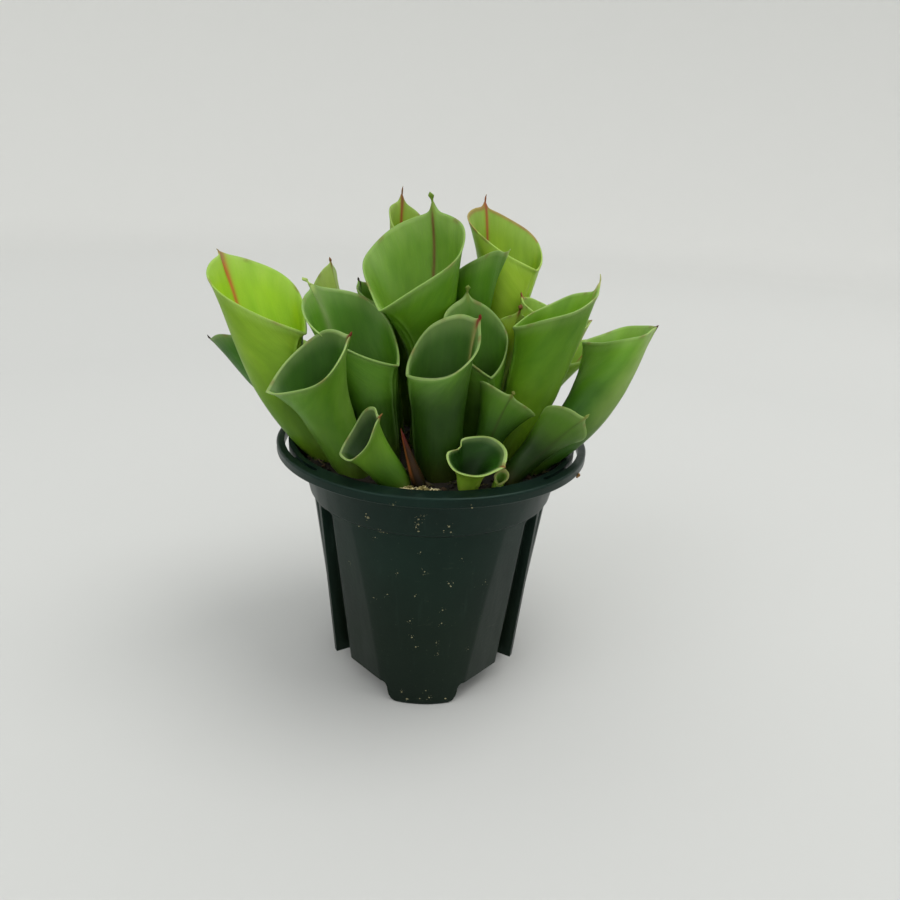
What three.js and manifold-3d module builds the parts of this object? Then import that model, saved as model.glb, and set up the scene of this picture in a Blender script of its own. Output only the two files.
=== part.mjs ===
// Potted sun pitcher plant: a slotted nursery pot on three feet, the soil in it, and a crown of
// rolled pitcher leaves and one bud standing in the soil.
// Millimetres, +Z up. The Z axis is the pot's axis, z = 0 is what its feet stand on, and one foot
// faces the front, -Y. Azimuths are measured from +X towards +Y.
import * as THREE from 'three';
import { mergeVertices } from 'three/addons/utils/BufferGeometryUtils.js';
import Module from 'manifold-3d';

// ---------------------------------------------------------------- driving dimensions: the pot
const CLEARANCE = 0.35; // gap between neighbouring pieces
const LATHE_SIDES = 48;
const POT_HEIGHT = 86;
const POT_WALL = 1.2;
const RIM_RADIUS = 52.5; // outside of the hoop around the top
const RIM_DEPTH = 3.2; // height of the hoop
const RIM_INNER_RADIUS = 46.5; // where the flat top of the rim ends, inside
const HAND_SLOT = { inner: 48.6, outer: 49.9, from: 61, to: 119 }; // slots through the rim, degrees
const COLLAR_TOP_RADIUS = 45.4;
const COLLAR_FOOT_RADIUS = 42.2;
const COLLAR_FOOT_Z = 68.9;
const BODY_TOP_RADIUS = 41.5;
const BODY_TOP_Z = 68.4;
const BODY_BASE_RADIUS = 36;
const FEET = [-90, 30, 150]; // azimuths of the feet
const CHANNELS = [-30, 90, 210]; // and of the channels between them
const FLOOR_Z = 8; // underside of the floor, between the feet
const FOOT_HALF_ANGLE = 19.5; // degrees, at the floor
const FOOT_PAD_HALF_ANGLE = 13; // degrees, where a foot meets the surface
const FOOT_INNER_RADIUS = 24;
const FACET_ANGLE = 45; // each flat facet faces this far round from the nearest foot
const FACET_BASE_DISTANCE = 34; // from the axis to a facet, at the floor
const FACET_TOP_DISTANCE = 41; // the same under the collar
const CHANNEL_SIDE = [48.5, 55]; // a channel deepens between these angles from the nearest foot
const CHANNEL_DEPTH = 3;
const RIB_HALF_ANGLE = 1.6; // of the rib that stands in the middle of each channel
const DRAIN_SLIT = { width: 1.8, aside: 2.2, top: 23 }; // open slits low down, either side of the rib
const DRAIN_HOLE_RADIUS = 4;
const DRAIN_RING_RADIUS = 17;

// ---------------------------------------------------------------- driving dimensions: the plant
function leafRow(
  number, base, throat, mouth, face, size, radius, tip, flare = 1.5, cleft = 0, pinch = 0.25,
) {
  return { name: `pitcher_${number}`, base, throat, mouth, face, size, radius, tip, flare, cleft, pinch };
}

const SOIL_Z = 82;
const SOIL_HEAVE = 0.7; // how much the soil's top rises and dips
const SOIL_RINGS = [43, 30, 15]; // radii of the rings of points on its top
const STEM_DEPTH = 5; // how far a stem reaches into the soil
const LEAF_WALL = 0.9;
const KEEL = 0.8; // how far the seam down a leaf's front stands out

// One row for each leaf, in millimetres and degrees:
//   base    the middle of the stem on the soil's surface, x and y
//   throat  the middle of the tube where it starts to open out, x, y and z
//   mouth   the middle of the mouth, x, y and z
//   face    azimuth and elevation of the line from the front notch to the back tip, and the
//           mouth's roll about that line
//   size    length of the mouth from notch to tip, and its width
//   radius  of the tube at its throat and of the stem at the soil
//   tip     from the top of the mouth's back to the end of the nectar spoon
//   flare   how suddenly the mouth opens, 1 for a plain cone; cleft, how far the notch bends in;
//           pinch, how much the mouth is drawn together beside the notch
const LEAVES = [
  // the large ones of the front and middle
  leafRow(
    '01', [-30.2, -15.5], [-49, -8.5, 105.6], [-56.5, 2, 131], [144, 28, 0], [43, 30], [9, 5.6], [-2, 0, 1.5], 1.8, 0, 0.45,
  ),
  leafRow('02', [-35, 2], [-57, 12, 104], [-61, 13.5, 111.6], [180, 5, -32], [29, 20], [4.9, 2.5], [-1, 0, 0.5], 1),
  leafRow('03', [-20, 5], [-32, 12, 108], [-39.5, 17, 131], [-5, 72, 17], [17, 14], [5, 3], [0, 0, 1.5]),
  leafRow('04', [-14, -16], [-20, -11, 101], [-26, -5, 123.2], [146, 30, 10], [40, 27], [8.5, 4], [-3, 0, 2]),
  leafRow('05', [-23, -27.5], [-31, -24, 98], [-38, -24.5, 114.8], [0, 36, -24], [29.8, 23.5], [7, 5], [1, 0, 0.5], 2),
  leafRow('06', [-9, -37], [-15.5, -38, 91], [-21.3, -37.8, 97.8], [-40, 44, -36], [21, 16.5], [5, 4.1], [1, 0, 0.5], 2),
  leafRow('07', [-4, -3], [-3, 2, 119], [-10, 5, 143.5], [66, 37, 8], [46, 36], [7.5, 4], [-1.2, 0, 5], 1.6, 0, 0.45),
  leafRow('08', [-7, 18], [-10.5, 24, 129], [-9.5, 29, 150.5], [125, 48, -12], [25, 18], [6, 3.5], [0, 0, 4]),
  leafRow('09', [19, 21], [24, 27, 126], [25, 33.5, 149.5], [131, 35, -8], [34, 35], [7, 4], [0, 0, 3]),
  leafRow('10', [8, 9], [11.5, 11.5, 128], [12.6, 13.5, 141.5], [8, 25, 28], [20, 14], [6, 3.5], [2, 0, 1]),
  leafRow('11', [11, -9], [14.5, -8, 102], [13.5, -7, 121.5], [116, 49, -8], [28, 24], [6.5, 3.5], [0, 0, 3]),
  leafRow('12', [3, -26], [1.5, -24, 106], [2, -21, 120.5], [8, 38, -32], [26, 21], [8, 6.6], [0.5, 0, 1.5], 1.5, 0, 0),
  leafRow('13', [22.5, -12], [32, -7, 105], [37.5, -4, 131], [8, 24, 3], [29, 23], [8, 4], [0.4, 0, 4]),
  leafRow('14', [28, -21], [54.8, -4.5, 106.4], [62, 8, 121.6], [-10, 17, 1], [24, 22], [8, 3.8], [1, 0, 0], 1.2),
  // the small ones in front and those seen between the large ones
  leafRow('15', [31, 5], [42.3, 16, 107], [46.6, 24, 119], [-10, 26, -5], [19, 18], [5, 3], [0.4, 0, 0.4]),
  leafRow('16', [24.5, 13], [32, 13, 115], [36, 15.5, 127.8], [165, 24, 5], [15, 15], [5, 3.2], [-0.5, 0, 1]),
  leafRow('17', [19, 3], [22.5, 7, 112], [25, 7, 123.3], [-70, 45, 5], [12, 11], [3.5, 2.5], [0.5, -1, 2]),
  leafRow('18', [15, -24], [19, -22, 97], [22.5, -21, 106], [-88, 20, 30], [14, 19], [4.8, 3], [0.5, -0.5, 1]),
  leafRow('19', [23, -31], [33, -26, 93], [39, -25, 99.5], [-42, 28, 55], [16, 16], [4.3, 3], [1, -0.5, 0.5]),
  leafRow(
    '20', [11, -37.5], [11.5, -37, 87], [12, -37, 93.6], [-34, -8, -17], [20, 18.5], [4, 2.8], [0.5, -0.3, 0], 1.5, 0.45,
  ),
  leafRow('21', [19.5, -35.5], [20.5, -35, 84], [21, -35, 85.5], [60, 40, 0], [5, 4], [1.6, 1.4], [0, 0, 0.3]),
  leafRow('22', [-13, 9], [-20, 16, 115], [-22, 20, 129.5], [160, 30, 5], [14, 13], [5, 3], [-0.5, 0, 1]),
  // the back of the crown
  leafRow('23', [-17, 18], [-27, 28, 102], [-33, 35, 113.5], [125, 38, 0], [30, 24], [7, 4], [-0.5, 0.5, 2]),
  leafRow('24', [3, 27], [4, 36, 110], [5, 42, 124], [85, 40, 5], [30, 26], [7.5, 4], [0, 0.5, 2]),
  leafRow('25', [23, 31], [30, 37, 104], [36, 40, 114], [50, 35, 0], [26, 20], [6.5, 3.5], [0.5, 0.5, 2]),
  leafRow('26', [-30, 10], [-41.5, 18.5, 98], [-49, 25, 105], [150, 30, 0], [24, 20], [6, 3.5], [-0.5, 0, 1]),
  leafRow('27', [33, 20], [47, 30.5, 102.5], [55, 35, 109], [30, 25, 0], [20, 17], [5, 3], [1, 0, 1]),
  leafRow('28', [-7, 35], [-10, 38, 93], [-12, 41, 101], [105, 30, 0], [15, 13], [4.5, 3], [0, 0, 1]),
  leafRow('29', [13, 37], [14, 40, 91], [15, 42.5, 98], [70, 30, 0], [14, 12], [4, 3], [0, 0, 1]),
];

// The colour of each leaf, in the order of the rows above.
const LEAF_COLOURS = [
  0x8fb02f, 0x5e7a35, 0x93ad5e, 0x5f8b33, 0x4c7a24, 0x46702a, 0x5f9528, 0x86a32a, 0x8aa838, 0x527f1f,
  0x40691f, 0x3c6322, 0x5f9226, 0x67982a, 0x8fae48, 0x7a9f34, 0x66801f, 0x4d7a24, 0x56802a, 0x3f6720,
  0x557a26, 0x466c1c, 0x6f9430, 0x7a9c36, 0x638a2c, 0x6b8a34, 0x729236, 0x5c7f2a, 0x587a28,
];

// A leaf that hasn't opened yet: a pointed bud. middle is a point halfway up it.
const BUD = { base: [-2.5, -38.5], middle: [-6, -37.5, 91], tip: [-9.3, -35, 100], radius: 2.4 };

// ---------------------------------------------------------------- small helpers
const wasm = await Module();
wasm.setup();

const radians = THREE.MathUtils.degToRad;

function vector(point, z = 0) {
  return new THREE.Vector3(point[0], point[1], point.length > 2 ? point[2] : z);
}

function toSolid(geometry) {
  const bare = geometry.clone();
  bare.deleteAttribute('normal');
  bare.deleteAttribute('uv');
  const merged = mergeVertices(bare, 1e-4);
  return new wasm.Manifold(new wasm.Mesh({
    numProp: 3,
    vertProperties: new Float32Array(merged.attributes.position.array),
    triVerts: new Uint32Array(merged.index.array),
  }));
}

function toGeometry(solid) {
  const mesh = solid.getMesh();
  const geometry = new THREE.BufferGeometry();
  geometry.setAttribute('position', new THREE.BufferAttribute(mesh.vertProperties, 3));
  geometry.setIndex(new THREE.BufferAttribute(mesh.triVerts, 1));
  geometry.computeVertexNormals();
  return geometry;
}

function material(color, roughness, metalness = 0) {
  return new THREE.MeshStandardMaterial({ color, roughness, metalness });
}

function part(name, geometry, look) {
  const mesh = new THREE.Mesh(geometry, look);
  mesh.name = name;
  return mesh;
}

// A closed skin over rings of equally many points, listed from the first ring to the last, with a
// fan over each end. Rings run anticlockwise seen from the end that the list moves towards.
function skinGeometry(rings, startPoint, endPoint) {
  const columns = rings[0].length;
  const positions = [];
  for (const ring of rings) {
    for (const point of ring) positions.push(point.x, point.y, point.z);
  }
  const start = rings.length * columns;
  const end = start + 1;
  positions.push(startPoint.x, startPoint.y, startPoint.z, endPoint.x, endPoint.y, endPoint.z);
  const index = [];
  for (let column = 0; column < columns; column += 1) {
    const next = (column + 1) % columns;
    for (let row = 0; row + 1 < rings.length; row += 1) {
      const low = row * columns;
      const high = low + columns;
      index.push(low + column, low + next, high + next);
      index.push(low + column, high + next, high + column);
    }
    const last = (rings.length - 1) * columns;
    index.push(start, next, column);
    index.push(end, last + column, last + next);
  }
  const geometry = new THREE.BufferGeometry();
  geometry.setAttribute('position', new THREE.Float32BufferAttribute(positions, 3));
  geometry.setIndex(index);
  return geometry;
}

// ---------------------------------------------------------------- the pot
// Radius of the pot's body. turn is in degrees from the middle of the nearest foot, and inset is
// how far the surface lies inside the outer one.
function bodyRadius(z, turn, inset) {
  const height = (z - FLOOR_Z) / (BODY_TOP_Z - FLOOR_Z);
  const cone = BODY_BASE_RADIUS + (BODY_TOP_RADIUS - BODY_BASE_RADIUS) * (z / BODY_TOP_Z);
  const distance = FACET_BASE_DISTANCE + (FACET_TOP_DISTANCE - FACET_BASE_DISTANCE) * height;
  const facet = distance / Math.cos(radians(Math.abs(turn) - FACET_ANGLE));
  if (inset === 0 && Math.abs(turn) > 60 - RIB_HALF_ANGLE) return cone;
  const reach = Math.abs(turn) + THREE.MathUtils.radToDeg(inset / BODY_BASE_RADIUS);
  const channel = CHANNEL_DEPTH * THREE.MathUtils.smoothstep(reach, ...CHANNEL_SIDE);
  return Math.min(cone, facet) - channel - inset;
}

// A solid with the pot's body shape, inset from its outside, between two heights. Only the outside
// has the ribs.
function bodySolid(fromZ, toZ, inset) {
  const back = THREE.MathUtils.radToDeg(inset / BODY_BASE_RADIUS);
  const [start, end] = CHANNEL_SIDE;
  const halfTurns = [11, 23, 29, 35, 43, start - back, (start + end) / 2 - back, end - back];
  if (inset === 0) halfTurns.push(60 - RIB_HALF_ANGLE - 0.1, 60 - RIB_HALF_ANGLE + 0.1);
  const turns = [...halfTurns.map((turn) => -turn).reverse(), 0, ...halfTurns];
  const rings = [fromZ, toZ].map((z) => FEET.flatMap((foot) => turns.map((turn) => {
    const angle = radians(foot + turn);
    const radius = bodyRadius(z, turn, inset);
    return new THREE.Vector3(radius * Math.cos(angle), radius * Math.sin(angle), z);
  })));
  return toSolid(skinGeometry(rings, new THREE.Vector3(0, 0, fromZ), new THREE.Vector3(0, 0, toZ)));
}

function latheSolid(profile) {
  const points = profile.map(([radius, z]) => new THREE.Vector2(radius, z));
  const geometry = new THREE.LatheGeometry(points, LATHE_SIDES);
  geometry.rotateX(Math.PI / 2);
  return toSolid(geometry);
}

// A foot: a block of a ring that narrows towards the surface it stands on.
function footSolid(azimuth, inset) {
  const levels = [
    [inset, FOOT_PAD_HALF_ANGLE],
    [inset + 2.2, FOOT_HALF_ANGLE - 1.2],
    [FLOOR_Z + inset + 0.6, FOOT_HALF_ANGLE],
  ];
  const trim = THREE.MathUtils.radToDeg(inset / BODY_BASE_RADIUS);
  const steps = [-1, -0.5, 0, 0.5, 1];
  const rings = levels.map(([z, halfAngle]) => {
    const outer = bodyRadius(z, 0, inset);
    const inner = FOOT_INNER_RADIUS + inset;
    const place = (radius, step) => {
      const angle = radians(azimuth + step * (halfAngle - trim));
      return new THREE.Vector3(radius * Math.cos(angle), radius * Math.sin(angle), z);
    };
    const outside = steps.map((step) => place(outer, step));
    const inside = steps.map((step) => place(inner, step)).reverse();
    return [...outside, ...inside];
  });
  const middle = (z) => {
    const radius = (BODY_BASE_RADIUS + FOOT_INNER_RADIUS) / 2;
    return new THREE.Vector3(radius * Math.cos(radians(azimuth)), radius * Math.sin(radians(azimuth)), z);
  };
  const top = levels[levels.length - 1][0];
  return toSolid(skinGeometry(rings, middle(levels[0][0]), middle(top)));
}

function cylinderSolid(radius, fromZ, toZ, x, y, segments = 12) {
  const geometry = new THREE.CylinderGeometry(radius, radius, toZ - fromZ, segments);
  geometry.rotateX(Math.PI / 2);
  geometry.translate(x, y, (fromZ + toZ) / 2);
  return toSolid(geometry);
}

function handSlotSolid(middleAzimuth) {
  const half = (HAND_SLOT.to - HAND_SLOT.from) / 2;
  const from = radians(middleAzimuth - half);
  const to = radians(middleAzimuth + half);
  const shape = new THREE.Shape();
  shape.absarc(0, 0, HAND_SLOT.outer, from, to, false);
  shape.absarc(0, 0, HAND_SLOT.inner, to, from, true);
  const depth = RIM_DEPTH + 2;
  const geometry = new THREE.ExtrudeGeometry(shape, { depth, bevelEnabled: false, curveSegments: 12 });
  geometry.translate(0, 0, POT_HEIGHT - RIM_DEPTH - 1);
  return toSolid(geometry);
}

function drainSlitSolid(azimuth, aside) {
  const length = 14;
  const low = FLOOR_Z - 2;
  const geometry = new THREE.BoxGeometry(length, DRAIN_SLIT.width, DRAIN_SLIT.top - low);
  geometry.translate(BODY_BASE_RADIUS, aside, (DRAIN_SLIT.top + low) / 2);
  geometry.rotateZ(radians(azimuth));
  return toSolid(geometry);
}

// The space inside the pot's body and feet, inset from the outside.
function lowerSpace(inset) {
  let space = bodySolid(FLOOR_Z + inset, BODY_TOP_Z + inset, inset);
  for (const foot of FEET) space = space.add(footSolid(foot, inset));
  return space;
}

// Radius of the collar's outside at a height.
function collarRadius(z) {
  const share = (z - COLLAR_FOOT_Z) / (POT_HEIGHT - RIM_DEPTH - COLLAR_FOOT_Z);
  return COLLAR_FOOT_RADIUS + (COLLAR_TOP_RADIUS - COLLAR_FOOT_RADIUS) * share;
}

// The inner profile of the pot's upper part, from the axis out and up to a height.
function collarProfile(inset, top) {
  const ledge = BODY_TOP_Z + inset - 0.4;
  return [[0, ledge], [COLLAR_FOOT_RADIUS - inset, ledge], [collarRadius(top) - inset, top]];
}

function potGeometry() {
  const under = POT_HEIGHT - RIM_DEPTH;
  const collar = latheSolid([
    [0, BODY_TOP_Z - 0.6],
    [BODY_TOP_RADIUS - 0.3, BODY_TOP_Z - 0.6],
    [COLLAR_FOOT_RADIUS, COLLAR_FOOT_Z],
    [COLLAR_FOOT_RADIUS + 1.4, (COLLAR_FOOT_Z + under) / 2],
    [COLLAR_TOP_RADIUS, under],
    [RIM_RADIUS - 0.5, under],
    [RIM_RADIUS, under + 0.5],
    [RIM_RADIUS, POT_HEIGHT - 0.6],
    [RIM_RADIUS - 0.6, POT_HEIGHT],
    [0, POT_HEIGHT],
  ]);
  let pot = bodySolid(FLOOR_Z, BODY_TOP_Z, 0).add(collar);
  for (const foot of FEET) pot = pot.add(footSolid(foot, 0));
  const mouth = RIM_INNER_RADIUS;
  const upper = [
    ...collarProfile(POT_WALL, under - 0.6), [mouth, POT_HEIGHT - 0.8], [mouth, POT_HEIGHT + 2], [0, POT_HEIGHT + 2],
  ];
  pot = pot.subtract(lowerSpace(POT_WALL)).subtract(latheSolid(upper));
  for (const side of [0, 180]) pot = pot.subtract(handSlotSolid(side));
  for (const channel of CHANNELS) {
    pot = pot.subtract(drainSlitSolid(channel, DRAIN_SLIT.aside)).subtract(drainSlitSolid(channel, -DRAIN_SLIT.aside));
  }
  pot = pot.subtract(cylinderSolid(DRAIN_HOLE_RADIUS, FLOOR_Z - 2, FLOOR_Z + 4, 0, 0));
  for (const azimuth of CHANNELS) {
    const x = DRAIN_RING_RADIUS * Math.cos(radians(azimuth));
    const y = DRAIN_RING_RADIUS * Math.sin(radians(azimuth));
    pot = pot.subtract(cylinderSolid(DRAIN_HOLE_RADIUS, FLOOR_Z - 2, FLOOR_Z + 4, x, y));
  }
  return toGeometry(pot);
}

// ---------------------------------------------------------------- the leaves
const LARGE_SIDES = [0.12, 0.5, 1, 1.5, 2, 2.55]; // columns round half a leaf, from its back
const SMALL_SIDES = [0.3, 0.95, 1.6, 2.3]; // the same on a leaf shorter than SMALL_MOUTH
const SMALL_MOUTH = 22;
const OUTER_ROWS = [0.2, 0.42, 0.62, 0.78, 0.9, 1]; // up a leaf, from above the soil to the mouth
const INNER_ROWS = [1, 0.86, 0.66, 0.45]; // down its hollow
const FLARE_FROM = 0.8; // the rings start to open and tilt at this share of the way to the throat
const MOUTH_PEAK = 0.35; // how pointed the mouth's back is, 0 for an ellipse
const MOUTH_VEE = 0.5; // how pointed its front notch is
const MOUTH_BROAD = 0.15; // how much nearer to its back than to its notch it is widest

function columnAngles(leaf) {
  const half = leaf.size[0] < SMALL_MOUTH ? SMALL_SIDES : LARGE_SIDES;
  return [0, ...half.map((angle) => -angle), Math.PI, ...[...half].reverse()];
}

// The mouth's own axes: along it from notch to tip, across it, and out of it.
function mouthAxes(leaf) {
  const [az, el, roll] = leaf.face.map(radians);
  const along = new THREE.Vector3(Math.cos(az) * Math.cos(el), Math.sin(az) * Math.cos(el), Math.sin(el));
  const level = new THREE.Vector3(Math.sin(az), -Math.cos(az), 0);
  const normal = level.clone().cross(along);
  const across = level.multiplyScalar(Math.cos(roll)).addScaledVector(normal, Math.sin(roll));
  return { along, across };
}

// The middle line of a leaf: a parabola through its base, throat and mouth. s goes from 0 at the
// soil to 1 at the mouth, and throatAt is its value at the throat.
function middleLine(leaf, s) {
  const base = vector(leaf.base, SOIL_Z);
  const throat = vector(leaf.throat);
  const mouth = vector(leaf.mouth);
  const below = throat.distanceTo(base);
  const throatAt = below / (below + mouth.distanceTo(throat));
  const pull = throat.clone().addScaledVector(base, -((1 - throatAt) ** 2))
    .addScaledVector(mouth, -(throatAt ** 2)).divideScalar(2 * throatAt * (1 - throatAt));
  const rest = 1 - s;
  const point = base.clone().multiplyScalar(rest * rest)
    .addScaledVector(pull, 2 * rest * s).addScaledVector(mouth, s * s);
  const direction = pull.clone().sub(base).multiplyScalar(rest)
    .addScaledVector(mouth.clone().sub(pull), s).normalize();
  return { point, direction, throatAt };
}

// Where the mouth's edge lies along its length, 1 at the tip and -1 at the notch.
function rimAlong(theta, leaf) {
  const turn = Math.abs(theta);
  const quarter = Math.PI / 2;
  const broad = MOUTH_BROAD * Math.sin(turn) ** 2;
  if (turn <= quarter) {
    return (1 - MOUTH_PEAK) * Math.cos(turn) + MOUTH_PEAK * (1 - turn / quarter) + broad;
  }
  const past = turn - quarter;
  const notch = leaf.cleft * Math.exp(-(((Math.PI - turn) / 0.3) ** 2));
  return -((1 - MOUTH_VEE) * Math.sin(past) + (MOUTH_VEE * past) / quarter) + broad + notch;
}

// A point on a leaf's skin: s up the leaf, theta round it from its back, inset into its wall.
function leafPoint(leaf, s, theta, inset) {
  const { point, direction, throatAt } = middleLine(leaf, s);
  const { along, across } = mouthAxes(leaf);
  const [throatRadius, stemRadius] = leaf.radius;
  const swell = Math.min(s / throatAt, 1) ** 0.8;
  const tube = stemRadius + (throatRadius - stemRadius) * swell - inset;
  const opening = (s - FLARE_FROM * throatAt) / (1 - FLARE_FROM * throatAt);
  const blend = Math.max(opening, 0) ** leaf.flare;
  const back = along.clone().addScaledVector(direction, -along.dot(direction)).normalize();
  const side = back.clone().cross(direction);
  const halfLong = leaf.size[0] / 2 - 1.4 * inset;
  const halfWide = leaf.size[1] / 2 - inset;
  const alongHere = back.multiplyScalar(tube * (1 - blend)).addScaledVector(along, halfLong * blend);
  const acrossHere = side.multiplyScalar(tube * (1 - blend)).addScaledVector(across, halfWide * blend);
  const lengthwise = Math.cos(theta) * (1 - blend) + rimAlong(theta, leaf) * blend;
  const front = Math.max(-Math.cos(theta), 0) ** 2;
  const seam = Math.abs(theta) > 3 && inset === 0 ? KEEL * THREE.MathUtils.smoothstep(s, 0, 0.3) : 0;
  return point.addScaledVector(alongHere, lengthwise * (1 + seam / tube))
    .addScaledVector(acrossHere, Math.sin(theta) * (1 - leaf.pinch * blend * front));
}

function leafGeometry(leaf) {
  const angles = columnAngles(leaf);
  const stemRing = (z) => angles.map((theta) => leafPoint(leaf, 0, theta, 0).setZ(z));
  const outer = OUTER_ROWS.map((s) => angles.map((theta) => leafPoint(leaf, s, theta, 0)));
  outer[outer.length - 1][0].add(vector(leaf.tip));
  const inner = INNER_ROWS.map((s) => angles.map((theta) => leafPoint(leaf, s, theta, LEAF_WALL)));
  const foot = SOIL_Z - STEM_DEPTH;
  const rings = [stemRing(foot), stemRing(SOIL_Z + SOIL_HEAVE), ...outer, ...inner];
  const end = middleLine(leaf, INNER_ROWS[INNER_ROWS.length - 1]).point;
  return skinGeometry(rings, vector(leaf.base, foot), end);
}

// The closed bud: rings that swell a little and then run to a point.
function budGeometry() {
  const middle = vector(BUD.middle);
  const tip = vector(BUD.tip);
  const levels = [
    [vector(BUD.base, SOIL_Z - STEM_DEPTH), 0.85],
    [vector(BUD.base, SOIL_Z + SOIL_HEAVE), 0.85],
    [vector(BUD.base, SOIL_Z).lerp(middle, 0.5), 1],
    [middle, 0.9],
    [middle.clone().lerp(tip, 0.55), 0.5],
    [middle.clone().lerp(tip, 0.9), 0.16],
  ];
  const rings = levels.map(([centre, share]) => Array.from({ length: 8 }, (_, side) => {
    const angle = (side / 8) * 2 * Math.PI;
    const radius = BUD.radius * share;
    return new THREE.Vector3(Math.cos(angle) * radius, Math.sin(angle) * radius, 0).add(centre);
  }));
  return skinGeometry(rings, levels[0][0], tip);
}

// ---------------------------------------------------------------- the soil
// The soil fills the pot. Its top heaves a little, and each stem stands in a plain hole in it.
function soilGeometry() {
  const inset = POT_WALL + CLEARANCE;
  const heave = (x, y) => SOIL_HEAVE * (Math.sin(x * 0.31 + 1) * Math.cos(y * 0.27) - 0.4);
  const [axis, ...wall] = collarProfile(inset, SOIL_Z - 1);
  const rings = wall.map(([radius, z]) => ringOf(radius, () => z));
  for (const radius of SOIL_RINGS) rings.push(ringOf(radius, (x, y) => SOIL_Z + heave(x, y)));
  const start = new THREE.Vector3(0, 0, axis[1]);
  const end = new THREE.Vector3(0, 0, SOIL_Z + heave(0, 0));
  let soil = lowerSpace(inset).add(toSolid(skinGeometry(rings, start, end)));
  for (const leaf of LEAVES) soil = soil.subtract(stemHoleSolid(leaf.base, leaf.radius[1]));
  soil = soil.subtract(stemHoleSolid(BUD.base, BUD.radius * 0.85));
  return toGeometry(soil);
}

function ringOf(radius, height) {
  return Array.from({ length: LATHE_SIDES }, (_, side) => {
    const angle = (side / LATHE_SIDES) * 2 * Math.PI;
    const x = radius * Math.cos(angle);
    const y = radius * Math.sin(angle);
    return new THREE.Vector3(x, y, height(x, y));
  });
}

function stemHoleSolid(base, stemRadius) {
  const sides = 8;
  const radius = (stemRadius + CLEARANCE) / Math.cos(Math.PI / sides);
  return cylinderSolid(radius, SOIL_Z - STEM_DEPTH - CLEARANCE, SOIL_Z + 5, base[0], base[1], sides);
}

// ---------------------------------------------------------------- the whole
const group = new THREE.Group();
group.add(part('pot', potGeometry(), material(0x1e2823, 0.45)));
group.add(part('soil', soilGeometry(), material(0x4a3a28, 0.95)));
group.add(part('leaf_bud', budGeometry(), material(0x8a3a1a, 0.5)));
LEAVES.forEach((leaf, order) => {
  group.add(part(leaf.name, leafGeometry(leaf), material(LEAF_COLOURS[order], 0.5)));
});

export default group;
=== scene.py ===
"""Dresses the potted sun pitcher plant: its pot, soil, moss and rolled pitcher leaves.

Sizes in the tables are millimetres and degrees, in the frame of the model: the Z axis is the
pot's axis, z = 0 is what its feet stand on, and -Y is the front. Blender's own unit is the metre.
"""
import random
from collections import namedtuple
from math import acos, cos, degrees, hypot, pi, radians, sin, sqrt, tau

import bpy
import numpy as np
from mathutils import Matrix, Vector


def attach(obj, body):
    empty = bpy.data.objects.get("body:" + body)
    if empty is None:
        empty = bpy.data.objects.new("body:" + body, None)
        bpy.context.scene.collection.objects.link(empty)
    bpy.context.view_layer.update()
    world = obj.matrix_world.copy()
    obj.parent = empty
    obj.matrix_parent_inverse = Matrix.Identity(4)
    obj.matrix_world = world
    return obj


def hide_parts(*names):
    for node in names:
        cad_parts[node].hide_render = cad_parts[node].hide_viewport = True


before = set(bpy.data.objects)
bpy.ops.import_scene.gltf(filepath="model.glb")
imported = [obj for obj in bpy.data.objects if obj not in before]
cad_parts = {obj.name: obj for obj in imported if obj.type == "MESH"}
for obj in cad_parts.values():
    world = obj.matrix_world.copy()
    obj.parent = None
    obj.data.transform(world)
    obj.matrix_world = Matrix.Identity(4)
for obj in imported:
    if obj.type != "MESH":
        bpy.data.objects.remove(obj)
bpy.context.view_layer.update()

MM = 0.001
random.seed(11)
rng = np.random.default_rng(11)


# ---- camera, floor and light
FRAME_PIXELS, FOCAL_PIXELS = 900, 672.94
SENSOR_WIDTH = 36
CAMERA_AT = (0.0, -219.5, 165.6)
CAMERA_DOWN, CAMERA_ROLL, CAMERA_TURN = 0.3710, 0.0513, 0.0289  # radians

# The studio is in metres: the radius of the floor's one flat face, where the floor starts to bend
# up, the radius of that bend, and the top of the low wall behind it.
FLOOR_MIDDLE, FLOOR_FLAT, FLOOR_BEND, WALL_TOP = 0.4, 1.6, 0.9, 1.7
FLOOR_SIDES, BEND_STEPS = 96, 16
FLOOR_NEAR, FLOOR_FAR = (0.565, 0.57, 0.563, 1), (0.725, 0.727, 0.715, 1)
SKY_COLOUR, SKY_STRENGTH = (0.99, 1.0, 0.98, 1), 0.98
LIGHTS_AIM = (0, 0, 0.09)
LIGHTS = (  # name, place, diameter, watts and colour
    ("key", (0.55, -0.05, 1.6), 1.1, 10.0, (1.0, 0.99, 0.96)),
    ("fill", (-1.0, -0.9, 1.2), 1.2, 4.4, (0.98, 0.99, 1.0)),
)


def new_object(name, data):
    obj = bpy.data.objects.new(name, data)
    bpy.context.scene.collection.objects.link(obj)
    return obj


def make_camera():
    forward = Vector((sin(CAMERA_TURN) * cos(CAMERA_DOWN),
                      cos(CAMERA_TURN) * cos(CAMERA_DOWN), -sin(CAMERA_DOWN)))
    level = Vector((cos(CAMERA_TURN), -sin(CAMERA_TURN), 0))
    upright = level.cross(forward)
    right = level * cos(CAMERA_ROLL) + upright * sin(CAMERA_ROLL)
    up = upright * cos(CAMERA_ROLL) - level * sin(CAMERA_ROLL)
    data = bpy.data.cameras.new("camera")
    data.sensor_width = SENSOR_WIDTH
    data.lens = SENSOR_WIDTH * FOCAL_PIXELS / FRAME_PIXELS
    data.clip_start = 0.01
    camera = new_object("camera", data)
    camera.matrix_world = Matrix.Translation(Vector(CAMERA_AT) * MM) @ Matrix(
        (right, up, -forward)).transposed().to_4x4()
    bpy.context.scene.camera = camera


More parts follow.
